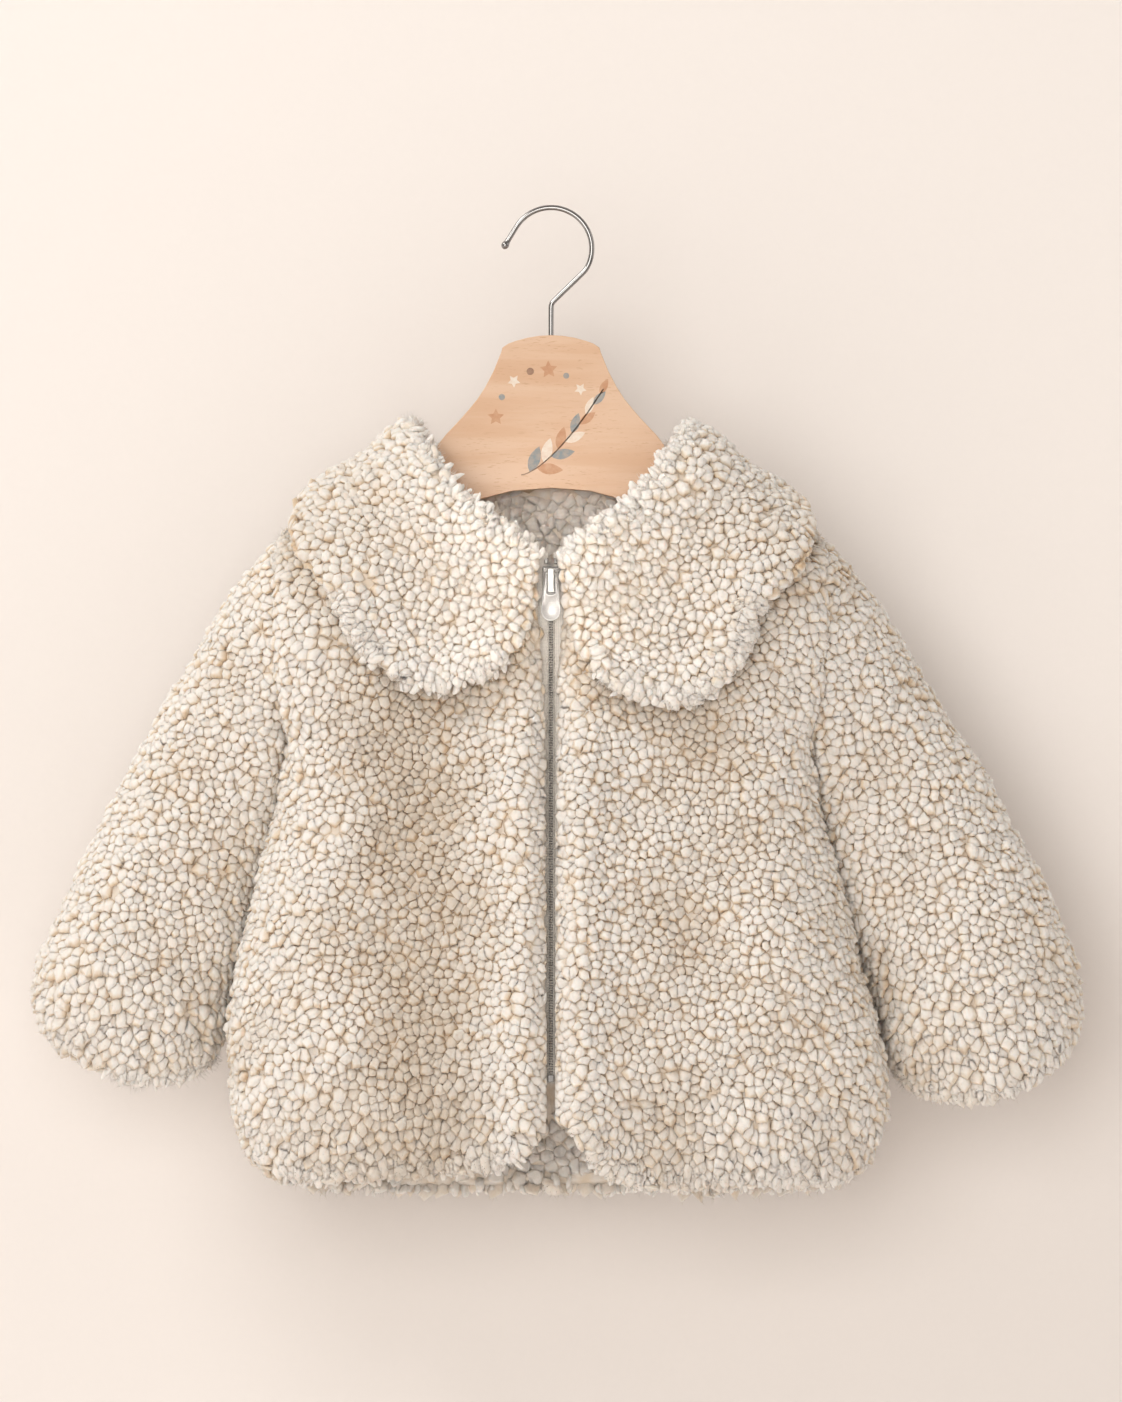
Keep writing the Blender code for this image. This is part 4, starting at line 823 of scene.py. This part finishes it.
class COAT_OT_cloth(bpy.types.Operator):
    """Makes the panels as thin shells and raises the curly pile on them"""

    bl_idname = "coat.cloth"
    bl_label = "Cloth and pile"

    def execute(self, context):
        cloth = context.scene.coat_cloth
        pile, backing = pile_finish(cloth), backing_finish(cloth)
        curl, fibre, tuft = curl_tree(), fibre_tree(), tuft_tree()
        for number, (name, rules) in enumerate(CLOTH.items()):
            seed, spacing = cloth.seed + 20 * number, rules["spacing"]
            shell = make_shell(name, rules)
            shell.data.materials.append(backing)
            curls = grow(curl, shell, "curls_" + name, Pitch=cloth.pitch * spacing,
                         Width=cloth.width * spacing, Height=cloth.height, Sink=cloth.sink, Seed=seed,
                         Material=pile)
            fibres = grow(fibre, curls, "fibres_" + name, Density=cloth.fibres, Length=cloth.fibre_length,
                          Thickness=cloth.fibre_thickness, Seed=seed + 9, Material=pile)
            tufts = grow(tuft, shell, "tufts_" + name, Pitch=cloth.tuft_pitch, Length=cloth.tuft_length,
                         Thickness=cloth.tuft_thickness, Seed=seed + 13, Material=pile)
            if name.startswith("front"):
                for piece in (curls, fibres, tufts):
                    clear_the_zip(piece)
            for piece in (shell, curls, fibres, tufts):
                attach(piece, "coat")
            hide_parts(name)
        return {"FINISHED"}


# ---------------------------------------------------------------- the zip


class CoatZip(bpy.types.PropertyGroup):
    pitch: FloatProperty(name="Coil pitch", description="Height of one turn of the coil",
                         default=1.35 * MM, unit="LENGTH", precision=5)
    half_width: FloatProperty(name="Coil half width", description="Half of a turn's width",
                              default=0.85 * MM, unit="LENGTH", precision=5)
    half_height: FloatProperty(name="Coil half height", description="Half of a turn's depth",
                               default=0.7 * MM, unit="LENGTH", precision=5)
    wire: FloatProperty(name="Coil wire", description="Radius of the coil's nylon",
                        default=0.25 * MM, unit="LENGTH", precision=5)
    rim: FloatProperty(name="Rim width", description="Width of the raised rim round the pull",
                       default=0.6 * MM, unit="LENGTH", precision=5)
    rim_height: FloatProperty(name="Rim height", description="How far the pull's middle lies under its rim",
                              default=0.4 * MM, unit="LENGTH", precision=5)
    tape: FloatVectorProperty(name="Tape colour", description="Woven tape", subtype="COLOR", size=3,
                              min=0, max=1, default=(0.87, 0.83, 0.77))
    nylon: FloatVectorProperty(name="Coil colour", description="Dark side of the coil", subtype="COLOR",
                               size=3, min=0, max=1, default=(0.13, 0.125, 0.12))
    metal: FloatVectorProperty(name="Metal colour", description="Slider, pull, stops and box",
                               subtype="COLOR", size=3, min=0, max=1, default=(0.63, 0.62, 0.605))


# Points of one turn of the coil, and sides of its wire
TURN_POINTS, WIRE_SIDES = 8, 5
FACES_FRONT = -0.98  # a face's normal along Y that still counts as the front


def coil_path(node):
    """A coil's middle line, from its solid: one point for each row of the solid's corners."""
    places = corners(NODES[node].data)
    rows = sorted(set(np.round(places[:, 2], 5)))
    points = [places[np.abs(places[:, 2] - row) < 2e-5].mean(0) for row in rows]
    mesh = bpy.data.meshes.new(node + "_path")
    mesh.from_pydata(points, [(i, i + 1) for i in range(len(points) - 1)], [])
    return new_object(mesh.name, mesh)


def coil_tree():
    """A flattened spiral of round wire along a path."""
    g = Shape("coil", Pitch=float, Half_Width=float, Half_Height=float, Wire=float, Phase=float, Material=str)
    line = g.add("GeometryNodeMeshToCurve", None, {"Mesh": g.given()}, "Curve")
    line = g.add("GeometryNodeResampleCurve", {"mode": "LENGTH"},
                 {"Curve": line, "Length": g.given("Pitch") / TURN_POINTS}, "Curve")
    angle = g.add("GeometryNodeInputIndex") * (2 * math.pi / TURN_POINTS) + g.given("Phase")
    across = g.math("COSINE", angle) * g.given("Half Width")
    out = g.math("SINE", angle) * g.given("Half Height")
    spiral = g.move(line, g.join(X=across, Y=out))
    ring = g.add("GeometryNodeCurvePrimitiveCircle", {"mode": "RADIUS"},
                 {"Resolution": WIRE_SIDES, "Radius": g.given("Wire")}, "Curve")
    values = {"Curve": spiral, "Profile Curve": ring, "Fill Caps": True}
    return g.finish(g.add("GeometryNodeCurveToMesh", None, values, "Mesh"))


def raise_rim(piece, width, height):
    """Sinks the middle of a plate's front face, which leaves a rim round its edge and its slot."""
    with opened(piece.data) as shape:
        front = [face for face in shape.faces if face.normal.y < FACES_FRONT]
        bmesh.ops.inset_region(shape, faces=front, thickness=width, depth=-height, use_boundary=True,
                               use_even_offset=True)


def tape_finish(settings):
    """A narrow woven tape: rows and ribs with a fine slub."""
    f = Finish("woven_tape", Roughness=0.88, Sheen_Weight=0.15)
    rows, ribs = f.stripes("Z", 420.0, 1.5), f.stripes("X", 300.0, 0.6)
    slub = f.noise(f.place, 500.0, 3.0)
    weave = rows * 0.4 + ribs * 0.35 + slub * 0.5
    f.set("Base Color", f.mix(f.ramp(weave, 0.3, 0.9), darker(settings.tape, 0.7), settings.tape))
    f.bump(weave, 0.25 * MM, 0.6)
    return f.material


def coil_finish(settings):
    """Nylon wire, dark grey with paler worn spots, and as pale as the tape where it is sewn on."""
    f = Finish("coil_nylon", Roughness=0.38)
    wear_and_painted_shade = f.ramp(f.noise(f.place, 900.0), 0.40, 0.62)
    off = f.math("ABSOLUTE", f.part(f.place, "X"))
    color = f.mix(wear_and_painted_shade, settings.nylon, (0.50, 0.48, 0.45))
    f.set("Base Color", f.mix(f.ramp(off, 0.9 * MM, 1.6 * MM), color, settings.tape))
    f.bump(f.noise(f.place, 3000.0, 1.0), 0.05 * MM, 0.4)
    return f.material


# Where shade is painted on the metal, in millimetres along Y, and how much of its brightness it loses there
SLIDER_PAINTED_SHADE = ((-43.8, -43.6, 0.12), (-43.3, -42.3, 0.6))
SMALL_PARTS_PAINTED_SHADE = ((-75.0, -62.0, 0.6), (-50.0, -40.0, 0.1))


def metal_finish(name, settings, painted_shade_spans):
    """Cast and tumbled zinc with a satin nickel finish: fine pits and faint rubbed streaks, and painted
    shade that darkens it towards the coat."""
    f = Finish(name, Metallic=0.75)
    pits = f.noise(f.place, 1500.0, 3.0, 0.6)
    rubbed = f.noise(f.stretched((900.0, 900.0, 120.0)), 1.0)
    f.set("Roughness", f.ramp(rubbed, 0.2, 0.8, 0.38, 0.52))
    y = f.part(f.place, "Y")
    # Painted shade: the colour darkens towards near black along Y, towards the coat.
    share = 1.0
    for start, end, loss in painted_shade_spans:
        share = share - f.ramp(y, start * MM, end * MM) * loss
    bright = f.mix(f.ramp(pits, 0.3, 0.7), darker(settings.metal, 0.86), settings.metal)
    f.set("Base Color", f.mix(share, (0.04, 0.035, 0.03), bright))
    f.bump(pits, 0.04 * MM, 0.35)
    return f.material


class COAT_OT_zip(bpy.types.Operator):
    """Makes the zip's tapes and coils, and finishes its slider, pull, stops and box"""

    bl_idname = "coat.zip"
    bl_label = "Zip"

    def execute(self, context):
        settings = context.scene.coat_zip
        tape, nylon = tape_finish(settings), coil_finish(settings)
        # Painted shade: the stops and box are darkened in full, and the slider behind the pull's face.
        wear_and_painted_shade = metal_finish("worn_metal", settings, SMALL_PARTS_PAINTED_SHADE)
        metal = metal_finish("satin_metal", settings, SLIDER_PAINTED_SHADE)
        tree = coil_tree()
        for number, side in enumerate(SIDES):
            piece = copy_of_node("zip_tape_" + side, "tape_" + side)
            piece.data.materials.append(tape)
            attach(piece, "coat")
            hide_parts("zip_tape_" + side)

            path = coil_path("zip_coil_" + side)
            coil = grow(tree, path, "coil_" + side, Pitch=settings.pitch, Half_Width=settings.half_width,
                        Half_Height=settings.half_height, Wire=settings.wire, Phase=math.pi * number,
                        Material=nylon)
            bpy.data.objects.remove(path)
            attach(coil, "coat")
            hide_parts("zip_coil_" + side)
        finish_node("zip_slider", metal)
        for node in ("zip_box", "zip_stop_left", "zip_stop_right"):
            finish_node(node, wear_and_painted_shade)

        pull = copy_of_node("zip_pull", "pull")
        raise_rim(pull, settings.rim, settings.rim_height)
        pull.data.materials.append(metal)
        pull.data.shade_smooth()
        pull.data.set_sharp_from_angle(angle=math.radians(50))
        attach(pull, "pull_tab")
        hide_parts("zip_pull")
        return {"FINISHED"}


# ---------------------------------------------------------------- the hanger


class CoatHanger(bpy.types.PropertyGroup):
    wood: FloatVectorProperty(name="Wood colour", description="Pale beech between its flecks",
                              subtype="COLOR", size=3, min=0, max=1, default=(0.72, 0.485, 0.325))
    fleck: FloatVectorProperty(name="Fleck colour", description="Beech's short rays", subtype="COLOR",
                               size=3, min=0, max=1, default=(0.55, 0.31, 0.17))
    chrome: FloatVectorProperty(name="Hook colour", description="Plated wire", subtype="COLOR", size=3,
                                min=0, max=1, default=(0.34, 0.33, 0.325))
    sprig_leaves: IntProperty(name="Leaves", description="Leaves on the printed sprig", default=11)
    print_height: FloatProperty(name="Print height", description="How far the print stands off the wood",
                                default=0.04 * MM, unit="LENGTH", precision=5)


# The print's inks by the number that is stored on its plates, each with the number that it starts at
BROWN, SLATE, RUST, CREAM = 0.1, 0.4, 0.65, 0.9
INKS = [(0.0, (0.24, 0.13, 0.085)), (0.39, (0.20, 0.275, 0.31)), (0.64, (0.55, 0.27, 0.14)),
        (0.89, (0.86, 0.78, 0.68))]

# The sprig's stem, in millimetres: its foot, how far it goes across and up, and the power it bends by
STEM_FOOT, STEM_RUN, STEM_BEND = (-16.0, -143.0), (44.0, 46.0), 1.5
STEM_STEPS, STEM_HALF = 24, 0.3

# The bow of stars and dots, in millimetres: its middle, its two radii, and the size of each from the left
BOW_MIDDLE, BOW_RADII = (-4.0, -116.0), (26.0, 30.0)
STAR_SIZES = (4.6, 1.7, 3.6, 2.0, 4.9, 1.6, 3.4)
LARGEST_DOT = 2.0


def leaf(length, width, points=8):
    """Outline of a leaf from its foot at the origin, up to its tip."""
    along = [i / points for i in range(points + 1)]
    half = [0.5 * width * math.sin(math.pi * t) ** 0.8 * (1.15 - 0.3 * t) for t in along]
    right = [(w, t * length) for t, w in zip(along, half)]
    return right + [(-w, z) for w, z in reversed(right[1:-1])]


def star(radius, points=5):
    """Outline of a rounded little star round the origin."""
    turns = [(math.pi * i / points, radius if i % 2 == 0 else 0.5 * radius) for i in range(2 * points)]
    return [(r * math.sin(turn), r * math.cos(turn)) for turn, r in turns]


def disc(radius, points=16):
    angles = [2 * math.pi * i / points for i in range(points)]
    return [(radius * math.sin(angle), radius * math.cos(angle)) for angle in angles]


def placed(outline, x, z, turn):
    """An outline in millimetres, turned clockwise by turn and moved to x, z."""
    c, s = math.cos(turn), math.sin(turn)
    return [((x + u * c + v * s) * MM, (z + v * c - u * s) * MM) for u, v in outline]


def on_stem(t):
    """A place on the stem, from its foot at 0 to its tip at 1."""
    return STEM_FOOT[0] + STEM_RUN[0] * t, STEM_FOOT[1] + STEM_RUN[1] * t ** STEM_BEND


def sprig(leaves):
    """The print's sprig: a bent stem with leaves to both sides, as outlines with their inks."""
    shapes = []
    stem = [on_stem(i / STEM_STEPS) for i in range(STEM_STEPS + 1)]
    for start, end in zip(stem, stem[1:]):
        across, up = end[0] - start[0], end[1] - start[1]
        run = math.hypot(across, up) * 1.15
        bar = [(-STEM_HALF, 0.0), (STEM_HALF, 0.0), (STEM_HALF, run), (-STEM_HALF, run)]
        shapes.append((placed(bar, *start, math.atan2(across, up)), BROWN))
    for number in range(leaves):
        t = (number + 1.2) / (leaves + 0.6)
        along_stem = math.atan2(STEM_RUN[0], STEM_RUN[1] * STEM_BEND * t ** (STEM_BEND - 1))
        turn = along_stem + (0.75 if number % 2 else -0.75) * (1.1 - t)
        size = 15.5 - 6.5 * t
        ink = (SLATE, RUST, CREAM)[number % 3]
        shapes.append((placed(leaf(size, 0.42 * size), *on_stem(t), turn), ink))
    return shapes


def stars():
    """The print's stars and dots, in a loose bow over the sprig."""
    shapes = []
    for number, size in enumerate(STAR_SIZES):
        bow = math.radians(-82 + 22 * number)
        x, z = BOW_MIDDLE[0] + BOW_RADII[0] * math.sin(bow), BOW_MIDDLE[1] + BOW_RADII[1] * math.cos(bow)
        outline = star(size) if size > LARGEST_DOT else disc(size)
        ink = (RUST, SLATE, CREAM, BROWN)[number % 4]
        shapes.append((placed(outline, x, z, 0.3 * number), ink))
    return shapes


def printed(shapes, face_y, height):
    """Thin closed plates of ink on the face at face_y, with each plate's ink stored on it."""
    places, faces, inks = [], [], []
    for outline, ink in shapes:
        first, count = len(places), len(outline)
        for y in (face_y - height, face_y + height):
            places += [(x, y, z) for x, z in outline]
        faces.append([first + i for i in range(count)])
        faces.append([first + count + i for i in reversed(range(count))])
        for i in range(count):
            j = (i + 1) % count
            faces.append((first + j, first + i, first + count + i, first + count + j))
        inks += [ink] * (2 * count)
    mesh = bpy.data.meshes.new("print")
    mesh.from_pydata(places, [], faces)
    with opened(mesh) as shape:
        bmesh.ops.recalc_face_normals(shape, faces=shape.faces)
    store(mesh, "ink", np.array(inks))
    return new_object("print", mesh)


def beech_grain(f, wood, fleck):
    """The beech's colour and relief: near level streaks, and short darker flecks in loose bands."""
    streaks = f.noise(f.stretched((9.0, 9.0, 95.0)), 1.0, 4.0, 0.55, 0.4)
    marks = f.noise(f.stretched((230.0, 230.0, 1500.0), math.radians(6)), 1.0)
    bands = f.noise(f.stretched((20.0, 20.0, 60.0)), 1.0)
    marks = f.ramp(marks, 0.60, 0.72) * f.ramp(bands, 0.35, 0.65, 0.25, 1.0)
    warm = tuple(c * share for c, share in zip(wood, (0.93, 0.86, 0.79)))
    plain = f.mix(f.ramp(streaks, 0.35, 0.65), wood, warm)
    return f.mix(marks * 0.75, plain, fleck), marks, streaks


def wood_finish(settings):
    f = Finish("beech", Coat_Weight=0.12, Coat_Roughness=0.35)
    color, marks, streaks = beech_grain(f, settings.wood, settings.fleck)
    f.set("Base Color", color)
    f.set("Roughness", f.ramp(streaks, 0.2, 0.8, 0.42, 0.55))
    f.bump(streaks * 0.3 - marks, 0.06 * MM, 0.5)
    return f.material


def ink_finish(settings):
    """Washed ink on wood: stronger at some places than others, with the grain showing through."""
    f = Finish("ink_on_beech")
    color, marks, _ = beech_grain(f, settings.wood, settings.fleck)
    ink = f.colors(f.surface("ink"), INKS)
    ink.socket.node.color_ramp.interpolation = "CONSTANT"
    wash = f.noise(f.place, 320.0, 3.0, 0.6)
    f.set("Base Color", f.mix(f.ramp(wash, 0.25, 0.75, 0.55, 0.95), color, ink))
    f.set("Roughness", f.ramp(wash, 0.2, 0.8, 0.5, 0.62))
    f.bump(wash - marks, 0.03 * MM, 0.3)
    return f.material


def chrome_finish(settings):
    f = Finish("plated_wire", Metallic=1.0)
    streaks = f.noise(f.place, 350.0, 3.0)
    f.set("Base Color", f.mix(f.ramp(streaks, 0.3, 0.7), darker(settings.chrome, 0.9), settings.chrome))
    f.set("Roughness", f.ramp(streaks, 0.25, 0.8, 0.10, 0.2))
    f.bump(streaks, 0.01 * MM, 0.2)
    return f.material


def finish_node(node, material):
    """Gives a solid that stays a better material."""
    for slot in NODES[node].material_slots:
        slot.material = material


class COAT_OT_hanger(bpy.types.Operator):
    """Finishes the beech board, prints it and makes its plated hook"""

    bl_idname = "coat.hanger"
    bl_label = "Hanger"

    def execute(self, context):
        settings = context.scene.coat_hanger
        finish_node("hanger_board", wood_finish(settings))
        face_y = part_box("hanger_board")[0].y
        motif = printed(sprig(settings.sprig_leaves) + stars(), face_y, settings.print_height)
        motif.data.materials.append(ink_finish(settings))
        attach(motif, "coat")

        hook = copy_of_node("hanger_hook", "hook")
        round_off(hook)
        hook.data.materials.append(chrome_finish(settings))
        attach(hook, "coat")
        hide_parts("hanger_hook")
        return {"FINISHED"}


# ---------------------------------------------------------------- the stage


class CoatStage(bpy.types.PropertyGroup):
    distance: FloatProperty(name="Camera distance", description="From the camera to the coat",
                            default=4.5, unit="LENGTH")
    height: FloatProperty(name="View height", description="How much of the coat's plane the view takes in",
                          default=0.757, unit="LENGTH", precision=4)
    wall_gap: FloatProperty(name="Wall", description="How far behind the hook the wall stands",
                            default=0.115, unit="LENGTH")
    wall: FloatVectorProperty(name="Wall colour", description="Wall and floor", subtype="COLOR", size=3,
                              min=0, max=1, default=(0.915, 0.866, 0.832))
    key: FloatProperty(name="Key light", description="Strength of the window-like light at the left",
                       default=38.0, unit="POWER")
    sky: FloatProperty(name="Room light", description="Strength of the light from all round", default=0.39)


# The wall and floor: half their width, the floor's height and its front and back edges, the wall's top
STAGE_REACH, FLOOR_Z, FLOOR_FRONT, FLOOR_BACK, WALL_TOP = 3.0, -1.1, -6.0, 4.0, 2.2
VIEW_CENTRE = (5.4 * MM, -264.9 * MM)  # the x and z that the camera looks at
SKY_COLOR = (1.0, 0.925, 0.85, 1.0)

# Each light's name, place, aim, width, share of the key light's strength, spread in degrees, and colour
LIGHTS = (
    ("key", (-1.9, -1.3, 1.9), (0.05, 0, -0.28), 1.2, 1.0, 180, (1.0, 0.975, 0.94)),
    ("front", (-0.6, -3.2, 0.0), (0, 0, -0.3), 1.8, 1.12, 180, (1.0, 0.98, 0.95)),
    ("side", (2.4, -0.9, 0.4), (0, 0, -0.3), 1.6, 0.15, 180, (1.0, 0.98, 0.96)),
    ("neck", (0.0, -0.8, -0.15), (0, 0.04, -0.195), 0.12, 0.00035, 10, (1.0, 0.93, 0.86)),
    ("rear", (1.2, 2.6, 1.5), (0, 0, -0.3), 2.0, 2.2, 180, (1.0, 0.97, 0.94)),
)


def quad(name, places, material):
    mesh = bpy.data.meshes.new(name)
    mesh.from_pydata(places, [], [(0, 1, 2, 3)])
    mesh.materials.append(material)
    return new_object(name, mesh)


def area_light(name, place, aim, size, power, spread, color):
    light = bpy.data.lights.new(name, "AREA")
    light.size = size
    light.energy = power
    light.color = color
    light.spread = math.radians(spread)
    item = new_object(name, light)
    item.location = place
    item.rotation_euler = (Vector(aim) - Vector(place)).to_track_quat("-Z", "Y").to_euler()


def wall_finish(color):
    """Matt paint. The wall's far side lets the view and the light through, so it only backs the front."""
    f = Finish("wall_paint", Roughness=0.9)
    grain = f.noise(f.place, 260.0, 3.0)
    soft = f.noise(f.place, 1.5, 1.0)
    f.set("Base Color", f.mix(grain * 0.25 + soft * 0.5, color, darker(color, 0.93)))
    f.bump(grain, 0.2 * MM, 0.15)
    clear = f.add("ShaderNodeBsdfTransparent")
    behind = f.add("ShaderNodeNewGeometry", out="Backfacing")
    paint = Signal(f, f.shader.outputs["BSDF"])
    mixed = f.add("ShaderNodeMixShader", None, {0: behind, 1: paint, 2: clear})
    f.feed(f.tree.nodes["Material Output"].inputs["Surface"], mixed)
    return f.material


class COAT_OT_stage(bpy.types.Operator):
    """Makes the wall, the floor, the lights and the camera"""

    bl_idname = "coat.stage"
    bl_label = "Stage"

    def execute(self, context):
        stage = context.scene.coat_stage
        paint = wall_finish(stage.wall)
        reach, gap = STAGE_REACH, stage.wall_gap
        ends = ((-reach, FLOOR_Z), (reach, FLOOR_Z), (reach, WALL_TOP), (-reach, WALL_TOP))
        wall = quad("wall", [(x, gap, z) for x, z in ends], paint)
        ends = ((-reach, FLOOR_FRONT), (reach, FLOOR_FRONT), (reach, FLOOR_BACK), (-reach, FLOOR_BACK))
        floor = quad("floor", [(x, y, FLOOR_Z) for x, y in ends], paint)

        for name, place, aim, size, share, spread, color in LIGHTS:
            area_light(name, place, aim, size, stage.key * share, spread, color)
        world = bpy.data.worlds.new("room")
        context.scene.world = world
        world.use_nodes = True
        sky = world.node_tree.nodes["Background"]
        sky.inputs["Color"].default_value = SKY_COLOR
        sky.inputs["Strength"].default_value = stage.sky

        camera = bpy.data.cameras.new("camera")
        camera.lens = camera.sensor_width * stage.distance / stage.height
        item = new_object("camera", camera)
        item.location = (VIEW_CENTRE[0], -stage.distance, VIEW_CENTRE[1])
        item.rotation_euler = (math.radians(90), 0, 0)
        context.scene.camera = item
        context.scene.view_settings.view_transform = "Standard"
        return {"FINISHED"}


# ---------------------------------------------------------------- the add-on


class COAT_PT_panel(bpy.types.Panel):
    bl_idname = "COAT_PT_panel"
    bl_label = "Curly-pile coat"
    bl_space_type = "VIEW_3D"
    bl_region_type = "UI"
    bl_category = "Coat"

    def draw(self, context):
        for name, (group, operator) in SECTIONS.items():
            box = self.layout.box()
            for setting in group.__annotations__:
                box.prop(getattr(context.scene, name), setting)
            box.operator(operator.bl_idname)


SECTIONS = {
    "coat_cloth": (CoatCloth, COAT_OT_cloth),
    "coat_zip": (CoatZip, COAT_OT_zip),
    "coat_hanger": (CoatHanger, COAT_OT_hanger),
    "coat_stage": (CoatStage, COAT_OT_stage),
}
CLASSES = (*[item for section in SECTIONS.values() for item in section], COAT_PT_panel)


def register():
    for item in CLASSES:
        bpy.utils.register_class(item)
    for name, (group, _) in SECTIONS.items():
        setattr(bpy.types.Scene, name, PointerProperty(type=group))


def unregister():
    for name in SECTIONS:
        delattr(bpy.types.Scene, name)
    for item in reversed(CLASSES):
        bpy.utils.unregister_class(item)


def main():
    register()
    bpy.ops.coat.cloth()
    bpy.ops.coat.zip()
    bpy.ops.coat.hanger()
    bpy.ops.coat.stage()


if __name__ == "__main__":
    main()
